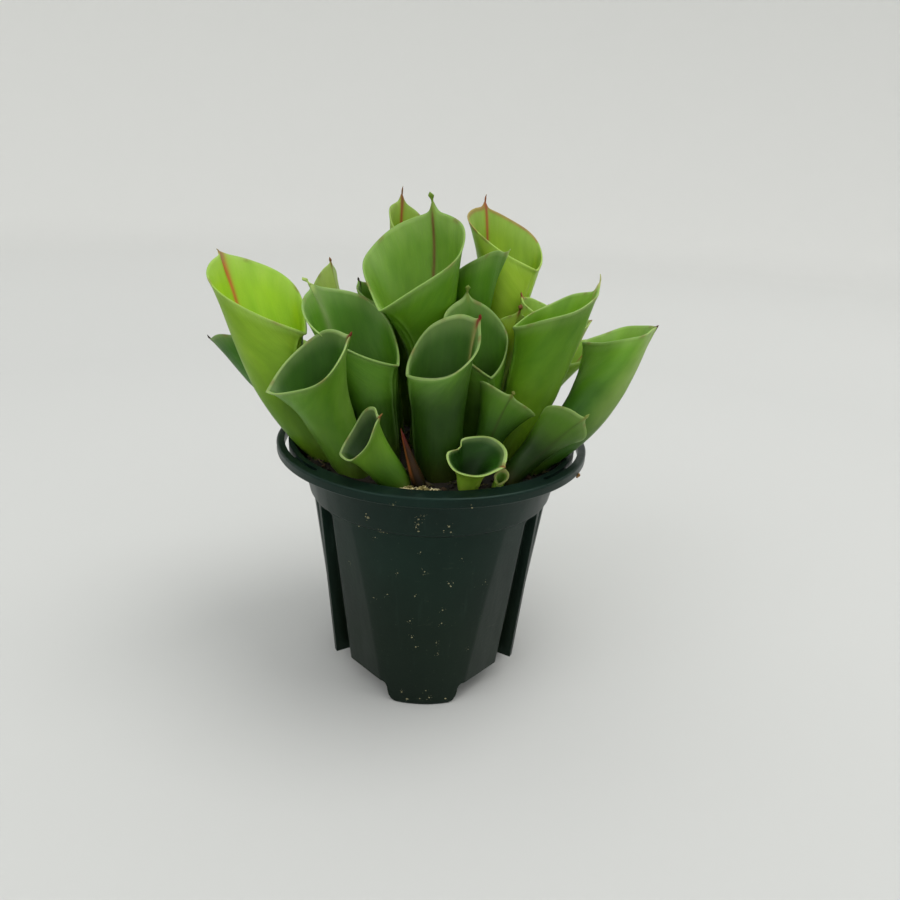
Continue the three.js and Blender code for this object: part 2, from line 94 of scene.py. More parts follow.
def add_area(name, place, size, watts, colour):
    data = bpy.data.lights.new(name, 'AREA')
    data.shape = 'DISK'
    data.size = size
    data.energy = watts
    data.color = colour
    light = new_object(name, data)
    light.location = place
    light.rotation_euler = (Vector(LIGHTS_AIM) - Vector(place)).to_track_quat('-Z', 'Y').to_euler()


def make_studio():
    """A round floor that curves up into a low wall on every side, and soft lights from above."""
    rows = [(FLOOR_MIDDLE, 0.0), (FLOOR_FLAT, 0.0)]
    for step in range(1, BEND_STEPS + 1):
        angle = pi / 2 * step / BEND_STEPS
        rows.append((FLOOR_FLAT + FLOOR_BEND * sin(angle), FLOOR_BEND - FLOOR_BEND * cos(angle)))
    rows.append((FLOOR_FLAT + FLOOR_BEND, WALL_TOP))
    turns = [tau * i / FLOOR_SIDES for i in range(FLOOR_SIDES)]
    verts = [(r * cos(a), r * sin(a), z) for r, z in rows for a in turns]
    faces = [tuple(range(FLOOR_SIDES))]
    for i in range(len(rows) - 1):
        low, high = i * FLOOR_SIDES, (i + 1) * FLOOR_SIDES
        for j in range(FLOOR_SIDES):
            k = (j + 1) % FLOOR_SIDES
            faces.append((low + j, high + j, high + k, low + k))
    mesh = bpy.data.meshes.new("floor")
    mesh.from_pydata(verts, [], faces)
    mesh.shade_smooth()
    floor = new_object("floor", mesh)
    look = Look("floor", Roughness=0.9)
    reach = look.node('ShaderNodeVectorMath', {0: look.place()}, operation='LENGTH').outputs["Value"]
    # paler away from the lamps, so that it looks the same all over
    look.drive("Base Color", look.mix(look.fit(reach, 0.5, 1.9), FLOOR_NEAR, FLOOR_FAR))
    mesh.materials.append(look.material)

    world = bpy.data.worlds.new("world")
    world.use_nodes = True
    sky = world.node_tree.nodes["Background"]
    sky.inputs["Color"].default_value = SKY_COLOUR
    sky.inputs["Strength"].default_value = SKY_STRENGTH
    bpy.context.scene.world = world
    for light in LIGHTS:
        add_area(*light)
    bpy.context.scene.view_settings.view_transform = 'Standard'
    bpy.context.scene.view_settings.look = 'None'


# ---- helpers
def linear(rgb):
    c = np.asarray(rgb, float) / 255
    return np.where(c <= 0.04045, c / 12.92, ((c + 0.055) / 1.055) ** 2.4)


def smooth(value, low, high):
    t = np.clip((np.asarray(value, float) - low) / (high - low), 0, 1)
    return t * t * (3 - 2 * t)


def unit(v):
    return v / np.linalg.norm(v, axis=-1, keepdims=True)


def polar(radius, azimuth, z=0.0):
    """A point by its distance and direction from the pot's axis, in degrees."""
    turn = radians(azimuth)
    return radius * cos(turn), radius * sin(turn), z


def circle(steps):
    return np.linspace(0, tau, steps, endpoint=False)


def bell(value, width):
    return np.exp(-(value / width) ** 2)


def make_object(name, verts, faces, surface, tint=None, grain=None, crease=None):
    """A mesh object of points in millimetres. tint and grain are a colour and a vector per point."""
    mesh = bpy.data.meshes.new(name)
    mesh.from_pydata((np.asarray(verts, float) * MM).tolist(), [], faces)
    if tint is not None:
        colours = np.ones((len(verts), 4), np.float32)
        colours[:, :3] = tint
        layer = mesh.color_attributes.new("tint", 'FLOAT_COLOR', 'POINT')
        layer.data.foreach_set("color", colours.ravel())
    if grain is not None:
        layer = mesh.attributes.new("grain", 'FLOAT_VECTOR', 'POINT')
        layer.data.foreach_set("vector", np.asarray(grain, np.float32).ravel())
    mesh.validate()
    mesh.update()
    mesh.shade_smooth()
    if crease is not None:
        mesh.set_sharp_from_angle(angle=radians(crease))
    mesh.materials.append(surface)
    return new_object(name, mesh)


def skin(rings, start, end):
    """(points, faces) of a closed skin over rings of points, with a fan from a point at each end."""
    rings = np.asarray(rings, float)
    rows, columns = rings.shape[:2]
    points = rings.reshape(-1, 3)
    index = np.arange(rows * columns).reshape(rows, columns)
    following = np.roll(index, -1, axis=1)
    faces = np.stack([index[:-1], following[:-1], following[1:], index[1:]], -1).reshape(-1, 4).tolist()
    count = rows * columns
    faces += [(count, int(b), int(a)) for a, b in zip(index[0], following[0])]
    faces += [(count + 1, int(a), int(b)) for a, b in zip(index[-1], following[-1])]
    return np.vstack([points, start, end]), faces


class Look:
    """A material with a Principled shader, and short ways to add nodes to it."""

    def __init__(self, name, **sockets):
        self.material = bpy.data.materials.new(name)
        self.material.use_nodes = True
        self.tree = self.material.node_tree
        self.shader = self.tree.nodes["Principled BSDF"]
        for key, value in sockets.items():
            self.shader.inputs[key.replace("_", " ")].default_value = value

    def feed(self, socket, value):
        """Sets an input, or links it where the value is another node's output."""
        if isinstance(value, bpy.types.NodeSocket):
            self.tree.links.new(value, socket)
        else:
            socket.default_value = value

    def drive(self, name, source):
        """Links an input of the shader."""
        self.feed(self.shader.inputs[name], source)

    def node(self, kind, inputs=(), **settings):
        node = self.tree.nodes.new(kind)
        for key, value in settings.items():
            setattr(node, key, value)
        for key, value in dict(inputs).items():
            self.feed(node.inputs[key], value)
        return node

    def stretch(self, vector, scale):
        return self.node('ShaderNodeMapping', {"Vector": vector, "Scale": scale}).outputs["Vector"]

    def place(self, scale=(1, 1, 1)):
        return self.stretch(self.node('ShaderNodeTexCoord').outputs["Object"], scale)

    def attribute(self, name, output):
        return self.node('ShaderNodeAttribute', attribute_name=name).outputs[output]

    def noise(self, vector, scale, detail=3.0, rough=0.55):
        return self.node('ShaderNodeTexNoise', {
            "Vector": vector, "Scale": scale, "Detail": detail, "Roughness": rough}).outputs["Fac"]

    def fit(self, value, low, high, to_low=0.0, to_high=1.0):
        return self.node('ShaderNodeMapRange', {
            "Value": value, "From Min": low, "From Max": high, "To Min": to_low, "To Max": to_high,
        }).outputs["Result"]

    def mix(self, factor, a, b, blend='MIX'):
        node = self.node('ShaderNodeMix', data_type='RGBA', blend_type=blend)
        for index, value in ((0, factor), (6, a), (7, b)):
            self.feed(node.inputs[index], value)
        return node.outputs[2]

    def stain(self, base, noise, low, high, most, rgb, blend='MIX'):
        """Lays a colour over base where noise goes from low to high, up to the share most."""
        return self.mix(self.fit(noise, low, high, 0.0, most), base, rgba(rgb), blend)

    def math(self, operation, a, b):
        node = self.node('ShaderNodeMath', operation=operation)
        for socket, value in zip(node.inputs, (a, b)):
            self.feed(socket, value)
        return node.outputs[0]

    def bump(self, height, depth, strength=1.0):
        node = self.node('ShaderNodeBump', {"Height": height, "Distance": depth, "Strength": strength})
        self.drive("Normal", node.outputs["Normal"])


def rgba(rgb):
    return (*linear(rgb).tolist(), 1.0)


# ---- materials
# The plastic is painted darker and more olive low down and paler and more teal near the rim: painted shade
# below, painted light above.
PLASTIC_LOW, PLASTIC_HIGH = ((9, 16, 9), (15, 24, 14)), ((9, 20, 16), (16, 34, 29))
PLASTIC_TURNS = (0.03, 0.082)  # the heights, in metres, between which the one goes over into the other
SMEARS, SCUFFS, DUST = (52, 70, 62), (92, 100, 84), (112, 116, 96)
LEAF_LIGHT, LEAF_DARK, LEAF_CELLS = (188, 206, 150), (96, 112, 90), (30, 52, 12)
# The medium's colours: its own dark brown, kept darker still as painted shade in the gaps under the leaves.
SOIL_DARK, SOIL_PALE, SOIL_MOIST = (18, 14, 8), (42, 31, 20), (20, 18, 10)


def plastic_look():
    look = Look("pot_plastic", Roughness=0.36, IOR=1.5, Specular_IOR_Level=0.22,
                Specular_Tint=(0.6, 1.0, 0.82, 1))
    where = look.place()
    cloud = look.noise(where, 35.0, 4.0)
    smear = look.noise(look.place((260, 260, 30)), 1.0, 4.0, 0.6)
    scuff = look.noise(look.place((90, 90, 240)), 1.0, 5.0, 0.65)
    speck = look.noise(where, 1500.0, 2.0, 0.5)
    height = look.node('ShaderNodeSeparateXYZ', {"Vector": where}).outputs["Z"]
    lower, upper = (look.mix(look.fit(cloud, 0.3, 0.7), rgba(dark), rgba(light))
                    for dark, light in (PLASTIC_LOW, PLASTIC_HIGH))
    # painted shade low on the pot, painted light near the rim
    base = look.mix(look.fit(height, *PLASTIC_TURNS), lower, upper)
    worn = look.stain(base, smear, 0.6, 0.8, 0.2, SMEARS)
    worn = look.stain(worn, scuff, 0.66, 0.76, 0.16, SCUFFS)
    look.drive("Base Color", look.stain(worn, speck, 0.71, 0.77, 0.22, DUST))
    look.drive("Roughness", look.fit(smear, 0.3, 0.8, 0.28, 0.46))
    peel = look.noise(where, 900.0, 2.0)
    look.bump(look.math('ADD', peel, look.math('MULTIPLY', cloud, 3.0)), 0.00006, 0.5)
    return look.material


def leaf_look():
    look = Look("leaf", Roughness=0.45, IOR=1.42, Specular_IOR_Level=0.24, Subsurface_Weight=0.25,
                Subsurface_Scale=0.001, Subsurface_Radius=(0.7, 1.0, 0.25))
    tint, grain = look.attribute("tint", "Color"), look.attribute("grain", "Vector")
    lines = look.noise(look.stretch(grain, (1.5, 0.07, 1.0)), 1.0, 3.0, 0.6)
    patches = look.noise(look.stretch(grain, (0.16, 0.09, 1.0)), 1.0, 3.0)
    cells = look.noise(look.stretch(grain, (3.5, 2.2, 1.0)), 1.0, 2.0)
    light = look.stain(tint, lines, 0.35, 0.7, 0.3, LEAF_LIGHT, 'SOFT_LIGHT')
    dark = look.stain(light, patches, 0.3, 0.75, 0.5, LEAF_DARK, 'SOFT_LIGHT')
    look.drive("Base Color", look.stain(dark, cells, 0.62, 0.74, 0.08, LEAF_CELLS))
    look.drive("Roughness", look.fit(patches, 0.3, 0.7, 0.38, 0.54))
    look.bump(look.math('ADD', lines, look.math('MULTIPLY', cells, 0.5)), 0.00018, 0.4)
    return look.material


def soil_look():
    look = Look("soil", Roughness=0.95)
    where = look.place()
    clumps = look.noise(where, 260.0, 5.0, 0.7)
    patches = look.noise(where, 60.0, 3.0)
    base = look.stain(rgba(SOIL_DARK), clumps, 0.35, 0.68, 1.0, SOIL_PALE)
    look.drive("Base Color", look.stain(base, patches, 0.35, 0.65, 0.5, SOIL_MOIST))
    look.bump(clumps, 0.0009, 0.9)
    return look.material


def tinted_look(name, roughness, scale, light, dark):
    """A dry, fibrous surface that takes its colour from the mesh's tint."""
    look = Look(name, Roughness=roughness)
    spots = look.noise(look.place(), scale, 4.0, 0.6)
    tint = look.attribute("tint", "Color")
    shade = look.stain(tint, spots, 0.3, 0.7, 0.5, light, 'SOFT_LIGHT')
    look.drive("Base Color", look.stain(shade, spots, 0.62, 0.75, 0.4, dark))
    look.bump(spots, 0.0002, 0.6)
    return look.material


# ---- the pot
POT_HEIGHT, POT_WALL = 86.0, 1.2
RIM_RADIUS, RIM_DEPTH, RIM_INNER, RIM_EDGES = 52.5, 3.2, 46.5, (0.6, 0.8)
SLOT_INNER, SLOT_OUTER, SLOT_HALF_ANGLE = 48.6, 49.9, 29.0
GROOVE_HALF_ANGLE, GROOVE_DEPTH = 46.0, 1.0  # the slot runs on at both ends as a groove
COLLAR_TOP, COLLAR_FOOT, COLLAR_FOOT_Z = 45.4, 42.2, 68.9
BODY_TOP, BODY_TOP_Z, BODY_BASE, BODY_FILLET = 41.5, 68.4, 36.0, 0.5
FEET, CHANNELS = (-90, 30, 150), (-30, 90, 210)
FLOOR_Z, FOOT_INNER = 8.0, 24.0
FOOT_SIDES = (  # height, and half the angle that a foot spans there
    (-1, 12.2), (0, 13.0), (0.3, 14.6), (0.8, 16.2), (1.5, 17.5), (2.4, 18.3), (4, 18.9),
    (6, 19.3), (7.0, 19.8), (7.6, 20.6), (8.4, 22.4))
FACET_ANGLE, FACET_BASE, FACET_TOP, FACET_SOFTNESS = 45.0, 34.0, 41.0, 0.12
CHANNEL_SIDE, CHANNEL_DEPTH, CHANNEL_TOP = (48.5, 55.0), 3.0, (66.0, 67.4)
CHANNEL_ROOF = (66.1, 66.5, 66.9, 67.4)  # rows of points that follow its rounded top
RIB_HALF_ANGLE, RIB_SIDE = 1.6, (-0.3, 0.15)
SLIT_WIDTH, SLIT_ASIDE, SLIT_TOP, SLIT_REACH = 1.8, 2.2, 23.0, (29.0, 43.0)
DRAIN_HOLE, DRAIN_RING = 4.0, 17.0


def body_flats(z):
    """The radius of the body's cone at a height, and how far its facets are from the axis there."""
    cone = BODY_BASE + (BODY_TOP - BODY_BASE) * z / BODY_TOP_Z
    return cone, FACET_BASE + (FACET_TOP - FACET_BASE) * (z - FLOOR_Z) / (BODY_TOP_Z - FLOOR_Z)


def body_radius(z, turn, inset):
    """Radius of the body's outside, turn degrees from the middle of the nearest foot."""
    cone, distance = body_flats(z)
    facet = distance / cos(radians(abs(turn) - FACET_ANGLE))
    least = 0.5 * (cone + facet - sqrt((cone - facet) ** 2 + FACET_SOFTNESS ** 2))
    reach = abs(turn) + degrees(inset / BODY_BASE)
    radius = least - CHANNEL_DEPTH * smooth(reach, *CHANNEL_SIDE) * (1 - smooth(z, *CHANNEL_TOP)) - inset
    if inset == 0:
        low, high = (60 - RIB_HALF_ANGLE + side for side in RIB_SIDE)
        radius += (cone - radius) * smooth(abs(turn), low, high)
    return float(radius)


def body_turns(z):
    """The columns' angles from the middle of a foot at a height. One column follows the crease."""
    cone, distance = body_flats(z)
    crease = FACET_ANGLE - degrees(acos(min(distance / cone, 1.0)))
    half = [*np.linspace(0, crease - 1, 9), crease, *np.linspace(crease + 1, 48, 5),
            *np.linspace(48.7, 55, 10), 56.5, 57.7, 58.05, 58.2, 58.35, 58.5, 58.7, 59.3]
    return [-60.0, *[-t for t in reversed(half[1:])], *half]


def body_solid(name, heights, inset, fillet=0.0):
    rings = []
    for z in heights:
        curl = fillet * (1 - sqrt(max(0.0, 1 - (1 - min(z / fillet, 1)) ** 2))) if fillet else 0
        rings.append([polar(body_radius(z, turn, inset) - curl, foot + turn, z)
                      for foot in FEET for turn in body_turns(z)])
    return make_object(name, *skin(rings, (0, 0, heights[0]), (0, 0, heights[-1])), plastic)


def lathe(name, profile, segments=240, x=0, y=0):
    rings = [[(x + r * cos(a), y + r * sin(a), z) for a in circle(segments)] for r, z in profile]
    return make_object(name, *skin(rings, (x, y, profile[0][1]), (x, y, profile[-1][1])), plastic)


def arc(centre, radius, start, end, steps=5):
    """Points of a fillet in a profile. Angles in degrees."""
    return [np.add(centre, polar(radius, a)[:2]) for a in np.linspace(start, end, steps)]


def foot_block(azimuth):
    """What is kept between the gaps under the pot. Its sides widen upwards and into the floor."""
    rings = []
    for z, half in FOOT_SIDES:
        spread = np.linspace(-half, half, 13)
        pull = 0.5 * max(0.0, 1 - max(z, 0) / 0.5)
        inner = FOOT_INNER + pull - max(0, z - 7) * 0.8
        rings.append([polar(60.0, azimuth + t, z) for t in spread]
                     + [polar(inner, azimuth + t, z) for t in reversed(spread)])
    ends = (polar(30, azimuth, FOOT_SIDES[end][0]) for end in (0, -1))
    return make_object("foot", *skin(rings, *ends), plastic)


def combine(target, other, operation):
    modifier = target.modifiers.new("join", 'BOOLEAN')
    modifier.object = other
    modifier.operation = operation
    modifier.solver = 'MANIFOLD'
    shape = bpy.data.meshes.new_from_object(target.evaluated_get(bpy.context.evaluated_depsgraph_get()))
    target.modifiers.clear()
    target.data = shape
    bpy.data.objects.remove(other)


def cut(target, other):
    combine(target, other, 'DIFFERENCE')


def hand_slot(side, half, low):
    """What is cut from the rim on one side, from the height low up: an arc with round ends."""
    width = (SLOT_OUTER - SLOT_INNER) / 2
    reach = degrees(width / SLOT_OUTER)
    bends = np.linspace(0, pi, 9)[1:-1]
    outline = [(SLOT_OUTER, a) for a in np.linspace(-half, half, 40)]
    outline += [(SLOT_INNER + width + width * cos(t), half + reach * sin(t)) for t in bends]
    outline += [(SLOT_INNER, a) for a in np.linspace(half, -half, 40)]
    outline += [(SLOT_INNER + width - width * cos(t), -half - reach * sin(t)) for t in bends]
    points = [polar(r, side + a, z) for z in (low, POT_HEIGHT + 1) for r, a in outline]
    count = len(outline)
    faces = [tuple(range(count))[::-1], tuple(range(count, 2 * count))]
    faces += [(i, (i + 1) % count, count + (i + 1) % count, count + i) for i in range(count)]
    return make_object("slot", points, faces, plastic)


def drain_hole(x, y):
    return lathe("hole", [(DRAIN_HOLE, FLOOR_Z - 2), (DRAIN_HOLE, FLOOR_Z + 4)], 40, x, y)


def drain_slit(azimuth, aside):
    """A slit low in a channel beside its rib, with a rounded top."""
    half = SLIT_WIDTH / 2
    outline = [(aside - half, FLOOR_Z - 3), (aside + half, FLOOR_Z - 3)]
    outline += [(aside + half * cos(t), SLIT_TOP - half + half * sin(t))
                for t in np.linspace(0, pi, 13)]
    turn = radians(azimuth)
    rings = [[(r * cos(turn) - s * sin(turn), r * sin(turn) + s * cos(turn), z)
              for s, z in outline] for r in SLIT_REACH]
    return make_object("slit", *skin(rings, np.mean(rings[0], 0), np.mean(rings[1], 0)), plastic)


def rim_and_collar():
    """The outside from the body's top to the mouth."""
    under, low = POT_HEIGHT - RIM_DEPTH, COLLAR_FOOT_Z
    middle = (low + under) / 2
    foot_edge, (lower_edge, upper_edge) = 0.5, RIM_EDGES
    return lathe("collar", [
        (BODY_TOP - 0.5, BODY_TOP_Z - 0.6), (BODY_TOP - 0.1, BODY_TOP_Z - 0.45),
        *arc((COLLAR_FOOT - foot_edge, low), foot_edge, -60, 0, 4),
        (COLLAR_FOOT + 0.75, middle - 3.4), (COLLAR_FOOT + 1.4, middle), (COLLAR_FOOT + 2.1, middle + 3.2),
        (COLLAR_TOP - 0.35, under - 1.2), (COLLAR_TOP - 0.05, under - 0.4), (COLLAR_TOP + 0.5, under),
        *arc((RIM_RADIUS - lower_edge, under + lower_edge), lower_edge, -90, 0),
        (RIM_RADIUS - 0.12, under + RIM_DEPTH / 2),
        *arc((RIM_RADIUS - upper_edge, POT_HEIGHT - upper_edge), upper_edge, 0, 90, 7)])


def mouth():
    """The space inside the rim and the collar."""
    under = POT_HEIGHT - RIM_DEPTH
    ledge, top_z = BODY_TOP_Z + POT_WALL - 0.4, under - 0.6
    top = COLLAR_FOOT + (COLLAR_TOP - COLLAR_FOOT) * (top_z - COLLAR_FOOT_Z) / (under - COLLAR_FOOT_Z)
    return lathe("mouth", [
        (COLLAR_FOOT - POT_WALL, ledge), (top - POT_WALL, top_z), (RIM_INNER - 0.3, POT_HEIGHT - 1.2),
        (RIM_INNER, POT_HEIGHT - 0.6), (RIM_INNER + 0.2, POT_HEIGHT - 0.2),
        (RIM_INNER + 0.6, POT_HEIGHT + 0.1), (RIM_INNER + 1.5, POT_HEIGHT + 2)])


def make_pot():
    heights = [0, 0.1, 0.25, 0.5, 1, 2, 3.5, 5.5, 7.5, *np.linspace(9, 65.6, 20), *CHANNEL_ROOF, BODY_TOP_Z]
    pot = body_solid("nursery_pot", heights, 0, BODY_FILLET)
    combine(pot, rim_and_collar(), 'UNION')
    gaps = lathe("gaps", [(60, -2), (60, FLOOR_Z)], 96)
    for foot in FEET:
        cut(gaps, foot_block(foot))
    cut(pot, gaps)
    inner = [FLOOR_Z + POT_WALL, *np.linspace(14, 65.6, 14), *CHANNEL_ROOF, BODY_TOP_Z + POT_WALL]
    cut(pot, body_solid("space", inner, POT_WALL))
    cut(pot, mouth())
    for side in (0, 180):
        cut(pot, hand_slot(side, SLOT_HALF_ANGLE, POT_HEIGHT - RIM_DEPTH - 1))
        cut(pot, hand_slot(side, GROOVE_HALF_ANGLE, POT_HEIGHT - GROOVE_DEPTH))
    for channel in CHANNELS:
        for aside in (-SLIT_ASIDE, SLIT_ASIDE):
            cut(pot, drain_slit(channel, aside))
        cut(pot, drain_hole(*polar(DRAIN_RING, channel)[:2]))
    cut(pot, drain_hole(0, 0))
    pot.data.shade_smooth()
    pot.data.set_sharp_from_angle(angle=radians(32))
    pot.data.materials.clear()
    pot.data.materials.append(plastic)
    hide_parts("pot")
    return pot


# Flecks of dried medium on the pot: azimuth, height and size.
FLECKS = [
    (-115, 72.6, 1.3), (-94, 73, 0.7), (-94, 70.5, 0.8), (-92, 76.3, 0.5), (-81, 70.3, 0.7),
    (-101, 83.2, 0.6), (-77, 83.1, 0.8), (-80, 51, 0.6), (-79, 49.8, 0.8), (-82, 40.7, 0.6),
    (-82, 35.4, 0.5), (-96, 29.3, 0.7), (-94, 25.5, 0.6), (-83, 23, 0.6), (-91, 55.5, 0.5),
    (-77, 2.4, 0.9), (-91, 2.8, 0.5), (-113, 65.4, 0.5), (-108, 45, 0.5), (-115, 42.3, 0.4),
    (-62, 49.4, 0.5), (-93, 62.6, 0.4), (-84, 27.4, 0.4), (-67, 22.8, 0.4), (-121, 67.7, 0.5),
    (40, 55, 0.6), (62, 31, 0.5), (75, 74, 0.6), (118, 47, 0.6), (140, 71, 0.5), (165, 20, 0.5),
    (10, 38, 0.5), (-10, 76, 0.5), (200, 74, 0.6), (230, 52, 0.4), (95, 84, 0.6), (-94, 75, 0.8),
    (-95, 72, 0.6), (-82, 72.5, 0.9), (-84, 71, 0.6), (-111, 68.5, 0.8), (-109, 68, 0.7),
    (-98, 2.2, 0.9), (-86, 3.4, 0.8), (-88, 6.5, 0.6), (-101, 5, 0.6), (-95, 46, 0.5),
    (-97, 36, 0.5), (-75, 60, 0.4), (-103, 54, 0.4),
]
HUSK = (-27, 52.4, 82.6, 2.4)  # azimuth, radius, height and size of a husk stuck under the rim
FLECK_COLOUR, HUSK_COLOUR = (166, 162, 128), (134, 98, 56)
LOOSE_TOP = 85.8  # no fleck, crumb or strand stands higher than this


def pot_outside(azimuth, z):
    under = POT_HEIGHT - RIM_DEPTH
    if z > under:
        return RIM_RADIUS
    if z > COLLAR_FOOT_Z:
        return COLLAR_FOOT + (COLLAR_TOP - COLLAR_FOOT) * (z - COLLAR_FOOT_Z) / (under - COLLAR_FOOT_Z)
    turn = min(((azimuth - foot + 180) % 360 - 180 for foot in FEET), key=abs)
    return body_radius(z, turn, 0)


def lump(centre, size, out, flat):
    """A small irregular grain, flattened along the direction out."""
    rings = [[(sin(t) * cos(a), sin(t) * sin(a), -cos(t)) for a in circle(7)]
             for t in (0.35, 0.95, 1.57, 2.2, 2.8)]
    points, faces = skin(rings, (0, 0, -1), (0, 0, 1))
    points = points * (1 + rng.uniform(-0.28, 0.28, (len(points), 1)))
    points *= size / 2 * np.array([1, rng.uniform(0.6, 1.0), flat])
    axis = Vector((0, 0, 1)).rotation_difference(Vector(out)).to_matrix()
    return points @ np.array(axis).T + centre, faces


def gather(parts):
    """Several (points, faces) as one, with the count of points in each."""
    points, faces, counts = [], [], []
    for p, f in parts:
        base = sum(counts)
        points.append(p)
        faces += [tuple(i + base for i in face) for face in f]
        counts.append(len(p))
    return np.vstack(points), faces, counts


def make_loose(name, parts, tints, surface, crease=None):
    """Many small pieces of medium as one object. tints has the colour of each."""
    points, faces, counts = gather(parts)
    points[:, 2] = np.minimum(points[:, 2], LOOSE_TOP)
    return make_object(name, points, faces, surface, np.repeat(tints, counts, axis=0), crease=crease)


def grain_on_pot(azimuth, z, size, lift):
    radius = pot_outside(azimuth, z) + lift
    return lump(polar(radius, azimuth, z), size, polar(1, azimuth), 0.3)


def make_flecks():
    parts = []
    for azimuth, z, size in FLECKS:
        parts.append(grain_on_pot(azimuth, z, size * 0.78, 0.02))
        for _ in range(rng.integers(1, 7)):
            near, at = azimuth + rng.uniform(-1.6, 1.6), z + rng.uniform(-1.3, 1.3)
            parts.append(grain_on_pot(near, at, size * rng.uniform(0.15, 0.4), 0.01))
    azimuth, radius, z, size = HUSK
    parts.append(lump(polar(radius, azimuth, z), size, polar(1, azimuth, -0.5), 0.45))
    tints = [linear(FLECK_COLOUR) * rng.uniform(0.55, 1.05) for _ in parts[1:]]
    surface = tinted_look("fleck", 0.9, 900, (230, 225, 190), (110, 90, 60))
    flecks = make_loose("dried_flecks", parts, tints + [linear(HUSK_COLOUR)], surface)
    return flecks


# ---- the leaves
SOIL_Z, SOIL_HEAVE, STEM_DEPTH, WALL, FLARE_FROM = 82.0, 0.7, 5.0, 0.6, 0.8
MOUTH_PEAK, MOUTH_VEE, MOUTH_BROAD, NOTCH_WIDTH = 0.35, 0.5, 0.15, 0.42
SMALL_MOUTH = 22  # a shorter mouth than this has fewer points
HIGH_WING, LOW_WING, BROAD_TUBE = 0.5, 0.32, 6.4  # the wings' height, and which leaves have high ones

